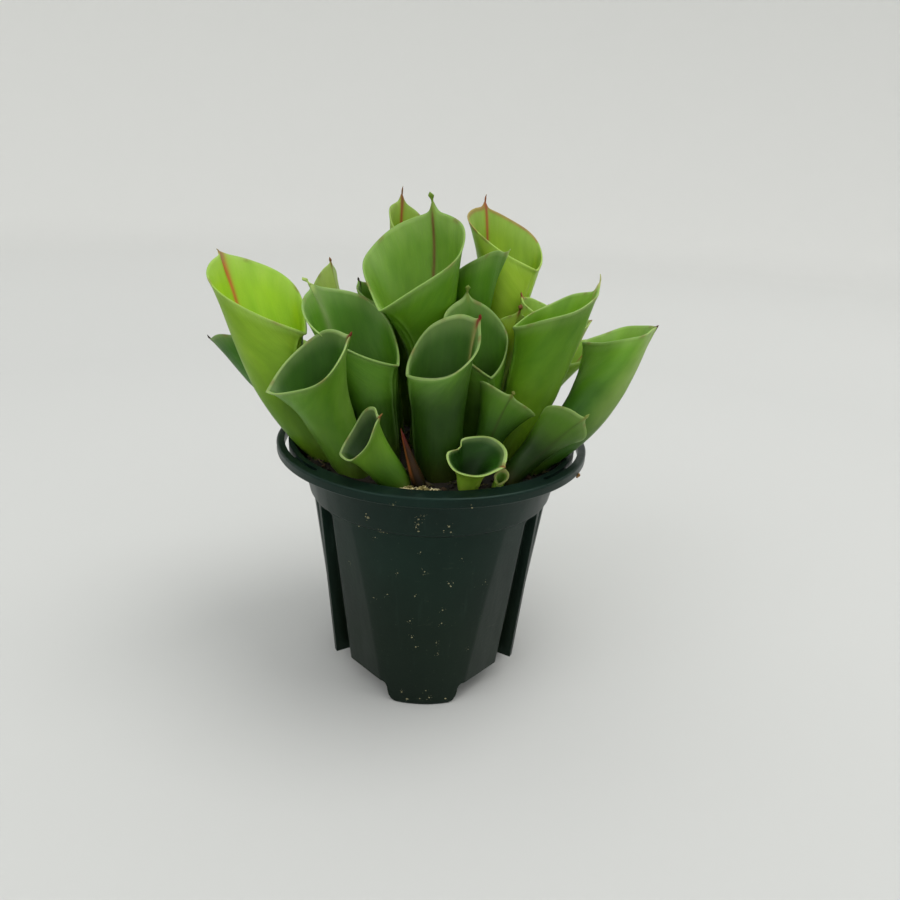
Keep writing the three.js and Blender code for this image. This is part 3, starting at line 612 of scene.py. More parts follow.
# The solids' rows, but that 02 reaches further left, the mouth of 06 is rolled further open, and
# the notch of 20 is deeper.
Leaf = namedtuple("Leaf", "base throat mouth face size radius tip flare cleft pinch",
                  defaults=(1.5, 0.0, 0.25))
LEAVES = {number: Leaf(*row) for number, row in {
    '01': ([-30.2, -15.5], [-49, -8.5, 105.6], [-56.5, 2, 131], [144, 28, 0], [43, 30], [9, 5.6],
           [-2, 0, 1.5], 1.8, 0, 0.45),
    '02': ([-34.5, 2.5], [-56.5, 12, 100.5], [-62, 13.5, 111.6], [180, 3, -25], [31, 22], [7.2, 2.4],
           [-1, 0, 0.5], 1),
    '03': ([-20, 5], [-32, 12, 108], [-39.5, 17, 131], [-5, 72, 17], [17, 14], [5, 3], [0, 0, 1.5]),
    '04': ([-14, -16], [-20, -11, 101], [-26, -5, 123.2], [146, 30, 10], [40, 27], [8.5, 4], [-3, 0, 2]),
    '05': ([-23, -27.5], [-31, -24, 98], [-38, -24.5, 114.8], [0, 36, -24], [29.8, 23.5], [7, 5],
           [1, 0, 0.5], 2),
    '06': ([-9, -37], [-15.5, -38, 91], [-21.3, -37.8, 97.8], [-40, 44, -48], [21, 16.5], [5, 4.1],
           [1, 0, 0.5], 2),
    '07': ([-4, -3], [-3, 2, 119], [-10, 5, 143.5], [66, 37, 8], [46, 36], [7.5, 4],
           [-1.2, 0, 5], 1.6, 0, 0.45),
    '08': ([-7, 18], [-10.5, 24, 129], [-9.5, 29, 150.5], [125, 48, -12], [25, 18], [6, 3.5], [0, 0, 4]),
    '09': ([19, 21], [24, 27, 126], [25, 33.5, 149.5], [131, 35, -8], [34, 35], [7, 4], [0, 0, 3]),
    '10': ([8, 9], [11.5, 11.5, 128], [12.6, 13.5, 141.5], [8, 25, 28], [20, 14], [6, 3.5], [2, 0, 1]),
    '11': ([11, -9], [14.5, -8, 102], [13.5, -7, 121.5], [116, 49, -8], [28, 24], [6.5, 3.5], [0, 0, 3]),
    '12': ([3, -26], [1.5, -24, 106], [2, -21, 120.5], [8, 38, -32], [26, 21], [8, 6.6],
           [0.5, 0, 1.5], 1.5, 0, 0),
    '13': ([22.5, -12], [32, -7, 105], [37.5, -4, 131], [8, 24, 3], [29, 23], [8, 4], [0.4, 0, 4]),
    '14': ([28, -21], [54.8, -4.5, 106.4], [62, 8, 121.6], [-10, 17, 1], [24, 22], [8, 3.8], [1, 0, 0], 1.2),
    '15': ([31, 5], [42.3, 16, 107], [46.6, 24, 119], [-10, 26, -5], [19, 18], [5, 3], [0.4, 0, 0.4]),
    '16': ([24.5, 13], [32, 13, 115], [36, 15.5, 127.8], [165, 24, 5], [15, 15], [5, 3.2], [-0.5, 0, 1]),
    '17': ([19, 3], [22.5, 7, 112], [25, 7, 123.3], [-70, 45, 5], [12, 11], [3.5, 2.5], [0.5, -1, 2]),
    '18': ([15, -24], [19, -22, 97], [22.5, -21, 106], [-88, 20, 30], [14, 19], [4.8, 3], [0.5, -0.5, 1]),
    '19': ([23, -31], [33, -26, 93], [39, -25, 99.5], [-42, 28, 55], [16, 16], [4.3, 3], [1, -0.5, 0.5]),
    '20': ([11, -37.5], [11.5, -37, 87], [12, -37, 93.6], [-34, -8, -17], [20, 18.5], [4, 2.8],
           [0.5, -0.3, 0], 1.5, 0.65),
    '21': ([19.5, -35.5], [20.5, -35, 84], [21, -35, 85.5], [60, 40, 0], [5, 4], [1.6, 1.4], [0, 0, 0.3]),
    '22': ([-13, 9], [-20, 16, 115], [-22, 20, 129.5], [160, 30, 5], [14, 13], [5, 3], [-0.5, 0, 1]),
    '23': ([-17, 18], [-27, 28, 102], [-33, 35, 113.5], [125, 38, 0], [30, 24], [7, 4], [-0.5, 0.5, 2]),
    '24': ([3, 27], [4, 36, 110], [5, 42, 124], [85, 40, 5], [30, 26], [7.5, 4], [0, 0.5, 2]),
    '25': ([23, 31], [30, 37, 104], [36, 40, 114], [50, 35, 0], [26, 20], [6.5, 3.5], [0.5, 0.5, 2]),
    '26': ([-30, 10], [-41.5, 18.5, 98], [-49, 25, 105], [150, 30, 0], [24, 20], [6, 3.5], [-0.5, 0, 1]),
    '27': ([33, 20], [47, 30.5, 102.5], [55, 35, 109], [30, 25, 0], [20, 17], [5, 3], [1, 0, 1]),
    '28': ([-7, 35], [-10, 38, 93], [-12, 41, 101], [105, 30, 0], [15, 13], [4.5, 3], [0, 0, 1]),
    '29': ([13, 37], [14, 40, 91], [15, 42.5, 98], [70, 30, 0], [14, 12], [4, 3], [0, 0, 1]),
}.items()}

# How each leaf is coloured: outside near the mouth, outside low down, inside, and the spoon.
RED, BROWN, DARK = (126, 38, 28), (128, 84, 48), (44, 28, 20)
# 17, 20, 21 and 22 are made paler than their own colour: painted light that lifts them out of the shade low
# among the other leaves.
LOOKS = {
    '01': ((132, 168, 38), (92, 130, 26), (150, 189, 30), (150, 124, 84)),
    '02': ((58, 112, 2), (58, 104, 8), (60, 98, 20), DARK),
    '03': ((164, 188, 90), (122, 152, 50), (122, 152, 52), BROWN),
    '04': ((98, 146, 40), (54, 90, 18), (80, 126, 30), (172, 192, 112)),
    '05': ((100, 146, 38), (84, 122, 34), (52, 92, 20), (112, 44, 28)),
    '06': ((106, 146, 44), (68, 106, 24), (34, 62, 14), BROWN),
    '07': ((93, 142, 22), (70, 112, 18), (102, 142, 38), (124, 150, 60)),
    '08': ((134, 162, 34), (96, 128, 28), (128, 156, 32), BROWN),
    '09': ((178, 212, 66), (136, 176, 36), (126, 158, 28), (150, 84, 50)),
    '10': ((84, 134, 20), (92, 136, 30), (76, 118, 20), (170, 190, 120)),
    '11': ((90, 134, 34), (72, 108, 26), (68, 110, 24), (122, 142, 66)),
    '12': ((86, 126, 38), (42, 72, 17), (57, 94, 26), (120, 34, 26)),
    '13': ((94, 140, 28), (116, 156, 34), (112, 160, 22), (190, 190, 132)),
    '14': ((102, 148, 34), (48, 92, 10), (104, 150, 14), (66, 38, 24)),
    '15': ((162, 182, 84), (118, 148, 48), (136, 168, 68), BROWN),
    '16': ((168, 206, 60), (108, 144, 38), (130, 168, 48), (160, 92, 60)),
    '17': ((160, 192, 44), (90, 120, 24), (106, 136, 28), BROWN),
    '18': ((86, 128, 32), (52, 88, 20), (60, 96, 24), (120, 124, 60)),
    '19': ((84, 122, 32), (30, 54, 9), (66, 100, 24), (130, 140, 70)),
    '20': ((162, 198, 56), (150, 186, 60), (30, 66, 10), BROWN),
    '21': ((166, 204, 80), (148, 186, 68), (96, 130, 44), (150, 150, 96)),
    '22': ((104, 158, 18), (76, 116, 16), (88, 138, 20), DARK),
    '23': ((118, 158, 38), (86, 120, 28), (124, 164, 40), RED),
    '24': ((124, 164, 42), (94, 126, 30), (132, 170, 44), BROWN),
    '25': ((106, 148, 36), (78, 112, 26), (112, 152, 38), RED),
    '26': ((112, 148, 40), (82, 112, 28), (120, 156, 42), BROWN),
    '27': ((118, 152, 44), (86, 116, 30), (126, 160, 46), BROWN),
    '28': ((98, 136, 34), (72, 104, 24), (100, 138, 36), BROWN),
    '29': ((92, 130, 32), (70, 100, 24), (96, 134, 34), BROWN),
}
# The middle colour here is painted light, laid along the backs of leaves lit from behind.
STEM_STAIN, BACKLIGHT_PAINT, RIB_COLOUR = (92, 62, 34), (158, 182, 104), (50, 46, 20)
LIP, DRY_LIP, USUAL_LIP = (172, 192, 128), (122, 92, 52), 0.42
# The vein that runs down from the spoon inside a leaf: its length, its width at the top, its colour,
# and how far it leans aside for each millimetre down.
VEINS = {
    '01': (16, 0.8, (190, 74, 34), 0.1), '04': (24, 1.6, (118, 144, 82)),
    '07': (30, 0.55, (116, 58, 38), -0.24), '08': (12, 0.7, (156, 44, 32)),
    '09': (24, 0.85, (164, 50, 34)), '12': (9, 1.2, (150, 142, 88)), '13': (6, 0.5, (150, 150, 80)),
    '14': (3, 0.8, (96, 60, 28)), '16': (4, 0.5, (150, 70, 40)), '23': (9, 0.5, (150, 60, 36)),
    '24': (12, 0.6, (136, 60, 38)), '25': (8, 0.5, (140, 54, 36)), '27': (5, 0.5, (150, 60, 38)),
}
# Where the colour of the outside turns from the lower, darker one to the upper one, as parts of its length.
# The darker lower part is partly the leaf's own colour, partly painted shade low among the other leaves.
USUAL_GRADE = (0.25, 0.85)
GRADES = {'12': (0.5, 1.0), '14': (0.35, 1.0), '18': (0.6, 1.0), '19': (0.5, 0.98), '06': (0.3, 0.8)}
LIPS = {  # strength of the pale edge, where it isn't the usual one
    '01': 0.22, '02': 0.3, '04': 0.5, '05': 0.66, '06': 0.7, '07': 0.34, '08': 0.25, '09': 0.25,
    '10': 0.5, '12': 0.55, '13': 0.6, '15': 0.25, '18': 0.6, '19': 0.6, '20': 0.66,
}
# Lips of another colour: the colour, its strength, and the least cosine of the angle from the
# leaf's back where it starts.
TINTED_LIPS = {'09': ((158, 92, 60), 0.6, -0.2), '21': ((150, 150, 96), 0.8, -2)}
USUAL_SPOON = (1.8, 1.1)
SPOONS = {  # length and width, where they aren't the usual ones
    '01': (1.2, 0.7), '04': (3.4, 2.3), '05': (1.6, 1.2), '07': (4.0, 2.2), '08': (3.6, 0.7),
    '09': (3.4, 0.8), '10': (1.2, 0.7), '11': (3.0, 2.2), '12': (1.7, 1.3), '13': (3.6, 0.55),
    '14': (0.9, 1.1), '15': (0, 0), '17': (3.0, 1.8), '18': (1.8, 1.3), '19': (2.2, 1.0), '20': (0, 0),
    '21': (0, 0), '22': (1.4, 1.0),
}
KNOBS = ('04', '07', '11', '17', '18')  # the spoons that end in a round knob
# Strength of the light painted along the back of those that the light falls on from behind.
PAINTED_BACKLIGHTS = {'14': 0.75, '13': 0.4, '01': 0.25, '05': 0.2}
BACK_RIBS = {'18': 0.5, '19': 0.3, '03': 0.2, '14': 0.15}  # strength of a brownish outer rib


def curve_of(leaf, s):
    """A leaf's middle line at s, its direction there, and the s of the throat."""
    base = np.array([*leaf.base, SOIL_Z], float)
    throat, mouth = np.array(leaf.throat, float), np.array(leaf.mouth, float)
    below = np.linalg.norm(throat - base)
    at = below / (below + np.linalg.norm(mouth - throat))
    pull = (throat - (1 - at) ** 2 * base - at ** 2 * mouth) / (2 * at * (1 - at))
    s = np.asarray(s, float)[..., None]
    point = (1 - s) ** 2 * base + 2 * (1 - s) * s * pull + s * s * mouth
    direction = unit((pull - base) * (1 - s) + (mouth - pull) * s)
    return point, direction, at


def mouth_axes(leaf):
    az, el, roll = (radians(a) for a in leaf.face)
    along = np.array([cos(az) * cos(el), sin(az) * cos(el), sin(el)])
    level = np.array([sin(az), -cos(az), 0])
    across = level * cos(roll) + np.cross(level, along) * sin(roll)
    return along, across


def rim_along(theta, cleft):
    """Where the mouth's edge lies along its length, 1 at the tip and -1 at the notch."""
    turn = np.abs(theta)
    quarter = pi / 2
    broad = MOUTH_BROAD * np.sin(turn) ** 2
    back = (1 - MOUTH_PEAK) * np.cos(turn) + MOUTH_PEAK * (1 - turn / quarter) + broad
    past = turn - quarter
    notch = 0.8 * cleft * bell(pi - turn, NOTCH_WIDTH)
    front = -((1 - MOUTH_VEE) * np.sin(past) + MOUTH_VEE * past / quarter) + broad + notch
    return np.where(turn <= quarter, back, front)


def leaf_points(leaf, s, theta, inset, seed):
    """Points on a leaf's skin. s goes up it, theta round it from its back, inset into its wall."""
    s, theta, inset = np.broadcast_arrays(*(np.asarray(v, float) for v in (s, theta, inset)))
    point, direction, at = curve_of(leaf, s)
    along, across = mouth_axes(leaf)
    throat_radius, stem_radius = leaf.radius
    grown = np.minimum(np.maximum(s, 0) / at, 1) ** 0.8
    tube = stem_radius + (throat_radius - stem_radius) * grown - inset
    blend = np.maximum((s - FLARE_FROM * at) / (1 - FLARE_FROM * at), 0) ** leaf.flare
    back = unit(along - direction * (direction @ along)[..., None])
    side = np.cross(back, direction)
    half_long = leaf.size[0] / 2 - 1.4 * inset
    half_wide = leaf.size[1] / 2 - inset
    along_here = back * (tube * (1 - blend))[..., None] + along * (half_long * blend)[..., None]
    across_here = side * (tube * (1 - blend))[..., None] + across * (half_wide * blend)[..., None]
    lengthwise = np.cos(theta) * (1 - blend) + rim_along(theta, leaf.cleft) * blend
    crosswise = np.sin(theta) * (1 - leaf.pinch * blend * np.maximum(-np.cos(theta), 0) ** 2)
    # living unevenness: the tube is never quite round, and the mouth's edge waves a little
    wave = 0.012 * np.sin(2 * theta + 5 * s + seed) + 0.008 * np.sin(3 * theta - 9 * s + 2.3 * seed)
    uneven = 1 + wave * smooth(s, 0.1, 0.5)
    p = point + along_here * (lengthwise * uneven)[..., None] + across_here * (crosswise * uneven)[..., None]
    ripple = 0.35 * smooth(s, 0.85, 1.0) * np.sin(4 * theta + 1.7 * seed) * np.abs(np.sin(theta))
    return p + direction * (ripple * min(leaf.size[0] / 30, 1))[..., None]


def leaf_angles(leaf):
    """The columns' angles from a leaf's back, and the wings' distance from its front and thickness."""
    reach = leaf.radius[0]
    gap, thick = min(0.75 / reach, 0.2), 0.22 / reach
    near = [0, 0.012, 0.026, 0.045, 0.07, 0.1, 0.15, 0.22]
    wing = [gap + thick * k for k in (4.5, 2, 0.6, 0, -0.6, -2)]
    far = np.linspace(0.31, pi - wing[0] - 0.08, 18 if leaf.size[0] < SMALL_MOUTH else 30)
    half = [*near, *far, *[pi - w for w in wing]]
    turn = [0, *[-a for a in half[1:]], pi, *reversed(half[1:])]
    return np.array(turn), gap, thick


def wing_height(leaf, s, theta, gap, thick, seed):
    """The two narrow wings down the front of a leaf."""
    high = HIGH_WING if leaf.radius[0] >= BROAD_TUBE else LOW_WING
    off = np.abs(np.abs(pi - np.abs(theta)) - gap) / thick
    ends = smooth(s, 0.02, 0.15) * (1 - smooth(s, 0.82, 0.98))
    return high * np.clip(1.45 - off, 0, 1) * ends * (1 + 0.15 * np.sin(15 * s + seed))


def leaf_shape(leaf, seed):
    """The rings of a leaf from its foot over the lip into its hollow, and what its colours need.

    For each ring: s, and how far its points are on the inside. For each column: theta, and how
    much the neck of the spoon draws it up. For each point: the height of the wings. Last, the root
    of the spoon.
    """
    small = leaf.size[0] < SMALL_MOUTH
    long_rows, short_rows = (19, 7) if small else (32, 11)
    theta, gap, thick = leaf_angles(leaf)
    outer_s = np.array([*np.linspace(0.03, 0.8, long_rows), *np.linspace(0.83, 0.97, short_rows),
                        0.98, 0.99, 1.0])
    inner_s = np.array([1.0, 0.99, 0.98, *np.linspace(0.965, 0.8, short_rows), *np.linspace(0.76, 0.3, 12)])

    def swell(s):
        """How much thicker the wall is near its lip."""
        return (0.2 if small else 0.26) * smooth(s, 0.965, 1.0) + 0.12 * smooth(s, 0.86, 1.0)

    outer = leaf_points(leaf, outer_s[:, None], theta[None], -swell(outer_s)[:, None], seed)
    direction = curve_of(leaf, outer_s)[1]
    along = mouth_axes(leaf)[0]
    back = unit(along - direction * (direction @ along)[:, None])
    wings = wing_height(leaf, outer_s[:, None], theta[None], gap, thick, seed)
    outer = outer - back[:, None, :] * wings[..., None]
    inner = leaf_points(leaf, inner_s[:, None], theta[None], (WALL - swell(inner_s) * 0.8)[:, None], seed)
    # the rounded lip that joins the two skins
    centre, radius = (outer[-1] + inner[0]) / 2, (outer[-1] - inner[0]) / 2
    rise = unit(outer[-1] - outer[-2])
    size = np.linalg.norm(radius, axis=1, keepdims=True)
    cap = np.array([centre + radius * cos(a) + rise * size * 0.9 * sin(a)
                    for a in np.linspace(0, pi, 7)[1:-1]])

    # the neck of the spoon draws the mouth's back up to a point
    pull = np.exp(-(np.abs(theta * (leaf.size[1] / 2)) / (0.9 if small else 1.2)) ** 1.5)
    neck = np.array(leaf.tip, float) * 0.7
    for rows, rows_s in ((outer, outer_s), (inner, inner_s), (cap, np.ones(len(cap)))):
        rows += neck * (pull[None] * smooth(rows_s, 0.88, 1.0)[:, None])[..., None]

    foot = leaf_points(leaf, 0.0, theta, 0.0, seed)
    collar = foot.copy()
    foot[:, 2], collar[:, 2] = SOIL_Z - STEM_DEPTH, SOIL_Z + 0.3
    rings = np.concatenate([foot[None], collar[None], outer, cap, inner])
    s = np.concatenate([[-0.1, 0.0], outer_s, np.ones(len(cap)), inner_s])
    deep = np.concatenate([np.zeros(2 + len(outer_s)), np.linspace(0.2, 0.8, len(cap)),
                           np.ones(len(inner_s))])
    ridge = np.zeros((len(s), len(theta)))
    ridge[2:2 + len(outer_s)] = wings
    return rings, s[:, None], deep[:, None], theta[None], pull[None], ridge, cap[len(cap) // 2][0]


def mixed(a, b, factor):
    return a + (b - a) * np.clip(factor, 0, 1)[..., None]


def leaf_colours(number, seed, s, deep, theta, pull, ridge):
    """The colour of each point of a leaf."""
    leaf = LEAVES[number]
    outside, low, inside, spoon_colour = (linear(rgb) for rgb in LOOKS[number])
    noise = 0.5 + 0.5 * np.sin(2.1 * theta + 6 * s + seed) * np.sin(1.3 * theta - 4 * s + 2 * seed)
    skin_out = mixed(low, outside, smooth(s, *GRADES.get(number, USUAL_GRADE)))
    skin_out = mixed(skin_out, linear(STEM_STAIN), 0.25 * (1 - smooth(s, 0.0, 0.25)))
    skin_out = mixed(skin_out, skin_out * 0.86, noise)
    # painted light along the back of leaves lit from behind
    painted_backlight = PAINTED_BACKLIGHTS.get(number, 0.0) * np.clip(np.cos(theta + 0.35), 0, 1) * smooth(s, 0.2, 0.7)
    skin_out = mixed(skin_out, linear(BACKLIGHT_PAINT), painted_backlight)
    # the inside turns darker further down the hollow: painted shade
    skin_in = mixed(inside, inside * 0.45, 1 - smooth(s, 0.45, 0.85))
    skin_in = mixed(skin_in, skin_in * 1.12, noise)
    colour = mixed(skin_out, skin_in, deep)

    edge = np.maximum(smooth(s, 0.982, 0.996) * (deep < 0.9), smooth(s, 0.991, 0.999))
    # a paler band below the lip, inside and out: partly the lip's own paler colour, partly a painted
    # highlight
    colour = mixed(colour, linear(LIP), 0.2 * smooth(s, 0.9, 1.0))
    strength = LIPS.get(number, USUAL_LIP) * (0.75 + 0.25 * np.sin(2.3 * theta + seed))
    colour = mixed(colour, linear(LIP), strength * edge)
    dry = smooth(np.sin(3.1 * theta + 1.9 * seed) * np.sin(7.3 * theta + seed), 0.45, 0.9)
    colour = mixed(colour, linear(DRY_LIP), 0.5 * edge * dry)
    if number in TINTED_LIPS:
        rgb, strength, least = TINTED_LIPS[number]
        colour = mixed(colour, linear(rgb), strength * edge * (np.cos(theta) > least))
    # the wings' ridges are painted lighter: a painted highlight along them
    colour = mixed(colour, colour + 0.1 * (linear(LIP) - colour), ridge * 1.6)

    down = (1 - s) * (np.linalg.norm(np.subtract(leaf.mouth, leaf.throat)) + 12)
    aside = theta * np.maximum(leaf.size[1] / 2 * smooth(s, 0.5, 1.0), leaf.radius[0] * 0.9)
    if number in VEINS:
        length, width, rgb, lean = (*VEINS[number], 0.0)[:4]
        broad = width * np.clip(1 - down / length, 0, 1) ** 0.8 + 0.12
        line = bell(aside - lean * down, broad) * (1 - smooth(down, length * 0.6, length))
        colour = mixed(colour, linear(rgb), 0.85 * line * (deep > 0.1))
    if number in BACK_RIBS:
        line = bell(aside, 0.32) * (deep < 0.5) * smooth(s, 0.05, 0.3)
        colour = mixed(colour, linear(RIB_COLOUR), BACK_RIBS[number] * line)
    return mixed(colour, spoon_colour, 0.9 * smooth(pull * smooth(s, 0.93, 1.0), 0.35, 0.95))


def make_leaf(number):
    leaf, seed = LEAVES[number], int(number) * 1.37
    rings, s, deep, theta, pull, ridge, root = leaf_shape(leaf, seed)
    parts = [skin(rings, (*leaf.base, SOIL_Z - STEM_DEPTH), curve_of(leaf, s[-1, 0])[0])]
    colour = leaf_colours(number, seed, s, deep, theta, pull, ridge)
    tints = [colour.reshape(-1, 3), colour[0].mean(0), colour[-1].mean(0)]

    # where the skin's fine pattern lies: millimetres round the leaf and up it
    length = np.linalg.norm(np.subtract(leaf.mouth, [*leaf.base, SOIL_Z]))
    around = theta * (leaf.radius[0] + (leaf.size[1] / 2 - leaf.radius[0]) * smooth(s, 0.5, 1.0))
    grain = np.stack([around + 40 * seed, s * length + 0 * theta, deep * 7 + seed + 0 * theta], -1)
    grains = [grain.reshape(-1, 3), grain[0, 0], grain[-1, 0]]

    spoon_length, spoon_width = SPOONS.get(number, USUAL_SPOON)
    if spoon_length:
        cup, cup_faces = spoon(root, np.array(leaf.tip, float), *mouth_axes(leaf), spoon_length, spoon_width,
                               number in KNOBS)
        parts.append((cup, cup_faces))
        shade = linear(LOOKS[number][3])
        tints.append(np.tile(shade, (len(cup), 1)) * rng.uniform(0.85, 1.1, (len(cup), 1)))
        grains.append(np.tile([seed, 0, 0], (len(cup), 1)) + cup)
    points, faces, _ = gather(parts)
    obj = make_object("leaf_" + number, points, faces, leaf_material, np.clip(np.vstack(tints), 0, 1),
                      np.vstack(grains))
    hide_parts("pitcher_" + number)
    return obj


def spoon(root, tip, along, across, length, width, knob):
    """The small hooded nectar spoon at the end of the neck, hollow towards the mouth."""
    up = unit(tip * 0.7 + along * 0.5 + np.array([0, 0, 0.4]))
    inward = unit(-along + up * (along @ up))
    start = root - up * length * 0.35
    hollow, body = (0.2, 0.5) if knob else (0.55, 0.22)
    rings = []
    for t in np.linspace(0, 1, 12):
        if knob:
            half = width / 2 * (0.34 + 0.66 * bell(t - 0.72, 0.2)) * sqrt(max(1 - t ** 9, 0.03))
        else:
            bulge = 0.42 + 0.58 * sin(pi * min(t * 1.05, 1.0) ** 1.3)
            half = width / 2 * bulge * sqrt(max(1 - t ** 6, 0.02))
        thick = 0.16 + body * half
        middle = start + up * length * t + inward * (0.22 * length * t ** 3)
        rings.append([middle + across * (half * cos(a))
                      + inward * (thick * sin(a) + hollow * half * (cos(a) ** 2 - 0.5))
                      for a in circle(14)])
    rings = np.array(rings)
    if np.dot(np.cross(rings[1][1] - rings[1][0], up), rings[1][0] - rings[1].mean(0)) < 0:
        rings = rings[:, ::-1]
    return skin(rings, rings[0].mean(0), rings[-1].mean(0) + up * 0.15)


BUD_BASE, BUD_MIDDLE, BUD_TIP, BUD_RADIUS = (-2.5, -38.5), (-6, -37.5, 91.0), (-9.3, -35, 100.0), 2.35
BUD_LOW, BUD_BODY, BUD_TOP, BUD_STREAK = (26, 24, 12), (70, 44, 18), (112, 26, 20), (150, 86, 40)


def make_bud():
    base, middle, tip = (np.array(place, float) for place in ((*BUD_BASE, SOIL_Z), BUD_MIDDLE, BUD_TIP))
    pull = 2 * middle - (base + tip) / 2
    turns = circle(28)
    seam = 1 - 0.16 * bell(turns - 4.2, 0.22) + 0.05 * bell(turns - 4.55, 0.15)
    side = 0.45 + 0.6 * (0.5 - 0.5 * np.cos(turns + 0.9))
    low, body, top = linear(BUD_LOW), linear(BUD_BODY), linear(BUD_TOP)
    rings, tints = [], []
    for s in [-0.28, 0.0, *np.linspace(0.06, 0.985, 26)]:
        t = max(s, 0)
        point = (1 - t) ** 2 * base + 2 * (1 - t) * t * pull + t * t * tip
        if s < 0:
            point = base - np.array([0, 0, STEM_DEPTH])
        size = 0.85 + 0.05 * sin(pi * min(t * 2, 1))
        size = max(BUD_RADIUS * size * (1 - max(t - 0.25, 0) / 0.75) ** 0.8, 0.12)
        rings.append([point + np.array([cos(a), sin(a), 0]) * size * f for a, f in zip(turns, seam)])
        shade = low + (body - low) * float(smooth(t, 0.05, 0.45))
        shade = shade + (top - shade) * float(smooth(t, 0.6, 0.9))
        streak = bell(turns - 4.0, 0.28) * float(smooth(t, 0.1, 0.4))
        tints.append(mixed(shade[None] * side[:, None], linear(BUD_STREAK), 0.75 * streak))
    points, faces = skin(rings, np.mean(rings[0], 0), tip)
    colours = np.vstack([np.array(tints).reshape(-1, 3), tints[0][0], top])
    grain = np.stack([points[:, 0] * 1.5, points[:, 2], points[:, 1]], -1)
    obj = make_object("unopened_leaf", points, faces, leaf_material, np.clip(colours, 0, 1), grain)
    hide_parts("leaf_bud")
    return obj


# ---- soil and moss
SOIL_RADIUS, SOIL_EDGE, STRAND_REACH = 42.5, (43.1, 43.6), 43.0
SOIL_WAVES = ((0.5, 0.30), (1.1, 0.22), (2.3, 0.18))  # how many to a millimetre, and how high
CRUMBS, CRUMB_SIZE = 260, (0.8, 2.6)
# The crumbs' own colours, darkened as painted shade in the gaps under the leaves.
CRUMB_COLOURS = [(40, 28, 17), (54, 38, 23), (28, 20, 13), (66, 50, 32), (36, 33, 16)]
TUFT, TUFT_RADII, TUFT_STRANDS = (-99.5, -94), (41.8, 43.2), 22  # the azimuths of its two clumps
STRANDS, TUFT_LENGTH, STRAND_LENGTH, STRAND_THICK = 150, (2, 3.5), (4, 9), (0.2, 0.32)
PALE_MOSS = [(206, 196, 156), (188, 178, 132), (160, 150, 104), (120, 112, 66)]
DARK_MOSS = [(58, 58, 26), (46, 42, 22), (70, 64, 34), (54, 44, 25), (78, 70, 42)]


def soil_height(x, y):
    return SOIL_Z + SOIL_HEAVE * (np.sin(x * 0.31 + 1) * np.cos(y * 0.27) - 0.4)


def make_soil_top():
    """The crumbly upper surface of the medium, a skin over the soil's solid."""
    radii = np.concatenate([np.linspace(1.0, SOIL_RADIUS, 46), SOIL_EDGE])
    r, a = np.meshgrid(radii, circle(180), indexing='ij')
    x, y = r * np.cos(a), r * np.sin(a)
    rough = np.zeros_like(x)
    for wave, size in SOIL_WAVES:
        for _ in range(4):
            turn, phase = rng.uniform(0, tau), rng.uniform(0, tau)
            rough += size * 0.5 * np.sin(wave * (x * cos(turn) + y * sin(turn)) + phase)
    z = soil_height(x, y) + 0.55 + rough * 0.8 + rng.uniform(-0.12, 0.12, x.shape)
    z[-1] = soil_height(x[-1], y[-1]) - 1.2
    under = np.stack([x[-1] * 0.97, y[-1] * 0.97, z[-1] - 0.3], -1)
    rings = np.concatenate([under[None], np.stack([x, y, z], -1)[::-1]])
    points, faces = skin(rings, (0, 0, SOIL_Z - 3), (0, 0, float(z[0].mean())))
    top = make_object("soil_surface", points, faces, soil_material)
    return top


def tube(path, radii, sides):
    path = np.asarray(path, float)
    ahead = unit(np.gradient(path, axis=0))
    aside = unit(np.cross(ahead, [0.31, 0.2, 0.93]))
    over = np.cross(ahead, aside)
    rings = [[p + r * (a * cos(t) + o * sin(t)) for t in circle(sides)]
             for p, r, a, o in zip(path, radii, aside, over)]
    return skin(rings, path[0], path[-1])


def free_spot(reach, clear):
    """A random spot on the soil that no stem stands on."""
    while True:
        r, a = reach * sqrt(random.random()), random.uniform(0, tau)
        x, y = r * cos(a), r * sin(a)
        if all(hypot(x - leaf.base[0], y - leaf.base[1]) > leaf.radius[1] + clear
               for leaf in LEAVES.values()):
            return x, y


def make_litter():
    """Bark crumbs and grains on the medium."""
    parts, tints = [], []
    for _ in range(CRUMBS):
        x, y = free_spot(SOIL_RADIUS, 0.2)
        size = random.uniform(*CRUMB_SIZE)
        lean = (random.gauss(0, 0.5), random.gauss(0, 0.5), 1)
        parts.append(lump((x, y, float(soil_height(x, y)) + 0.9), size, lean, random.uniform(0.3, 0.7)))
        tints.append(linear(random.choice(CRUMB_COLOURS)))
    surface = tinted_look("bark", 0.95, 500, (150, 120, 84), (30, 20, 12))
    litter = make_loose("bark_crumbs", parts, tints, surface, crease=40)
    return litter


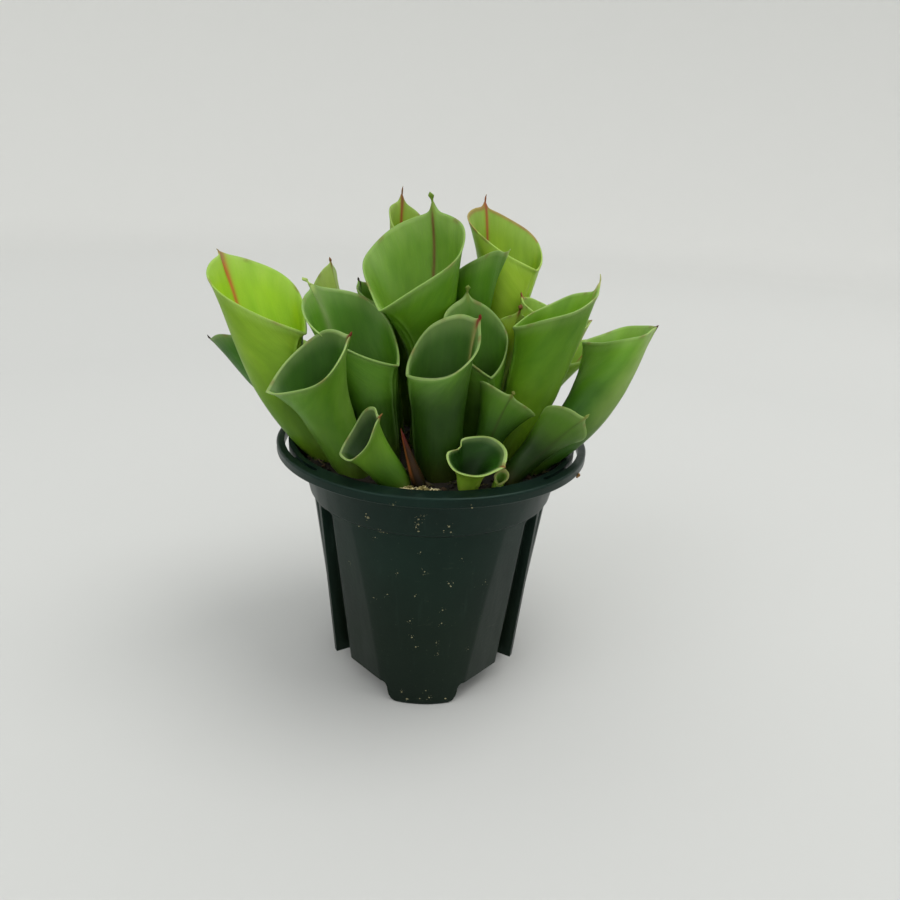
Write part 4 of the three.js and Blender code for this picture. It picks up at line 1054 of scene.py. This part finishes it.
def moss_strand(x, y, length, thick, lift_up):
    """A lying strand of sphagnum with short side branches."""
    z = float(soil_height(x, y)) + 0.9 + lift_up * random.random()
    heading, step = random.uniform(0, tau), length / 6
    path = []
    for i in range(7):
        path.append((x, y, z + 0.7 * sin(pi * i / 6) + random.uniform(-0.15, 0.25)))
        heading += random.gauss(0, 0.35)
        if hypot(x + cos(heading) * step, y + sin(heading) * step) > STRAND_REACH:
            heading += pi / 2  # along the pot's wall
        x, y = x + cos(heading) * step, y + sin(heading) * step
        scale = min(1.0, STRAND_REACH / hypot(x, y))
        x, y = x * scale, y * scale
    parts = [tube(path, [thick * f for f in (0.5, 0.9, 1, 1, 0.9, 0.7, 0.3)], 5)]
    for _ in range(random.randint(8, 15)):
        start = np.array(path[random.randint(1, 6)])
        turn, lift = random.uniform(0, tau), random.uniform(-0.1, 0.8)
        reach = random.uniform(0.9, 2.2)
        ahead = np.array([cos(turn) * cos(lift), sin(turn) * cos(lift), sin(lift)])
        end = start + ahead * reach + np.array([0, 0, -0.25 * reach])
        width = thick * random.uniform(0.7, 1.2)
        parts.append(tube([start, start + ahead * reach * 0.5, end], [width * 0.7, width, 0.05], 4))
    return parts


def make_moss():
    """A pale tuft at the front edge, and darker strands over the rest."""
    parts, tints = [], []
    for i in range(STRANDS):
        front = i < TUFT_STRANDS
        if front:
            azimuth = random.gauss(random.choice(TUFT), 1.3)
            x, y, _ = polar(random.uniform(*TUFT_RADII), azimuth)
        else:
            x, y = free_spot(STRAND_REACH, 1.2)
        length = random.uniform(*(TUFT_LENGTH if front else STRAND_LENGTH))
        strand = moss_strand(x, y, length, random.uniform(*STRAND_THICK), 0.5 if front else 0.0)
        tint = linear(random.choice(PALE_MOSS if front else DARK_MOSS)) * random.uniform(0.8, 1.1)
        parts += strand
        tints += [tint] * len(strand)
    surface = tinted_look("moss", 0.9, 700, (236, 228, 190), (96, 84, 50))
    moss = make_loose("moss_strands", parts, tints, surface)
    return moss


# ---- the whole
make_camera()
make_studio()
plastic = plastic_look()
leaf_material = leaf_look()
soil_material = soil_look()

pieces = [make_pot(), make_flecks(), make_soil_top(), make_litter(), make_moss(), make_bud()]
pieces += [make_leaf(number) for number in LEAVES]
for piece in pieces:
    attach(piece, "root")
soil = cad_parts["soil"]
soil.data.materials.clear()
soil.data.materials.append(soil_material)
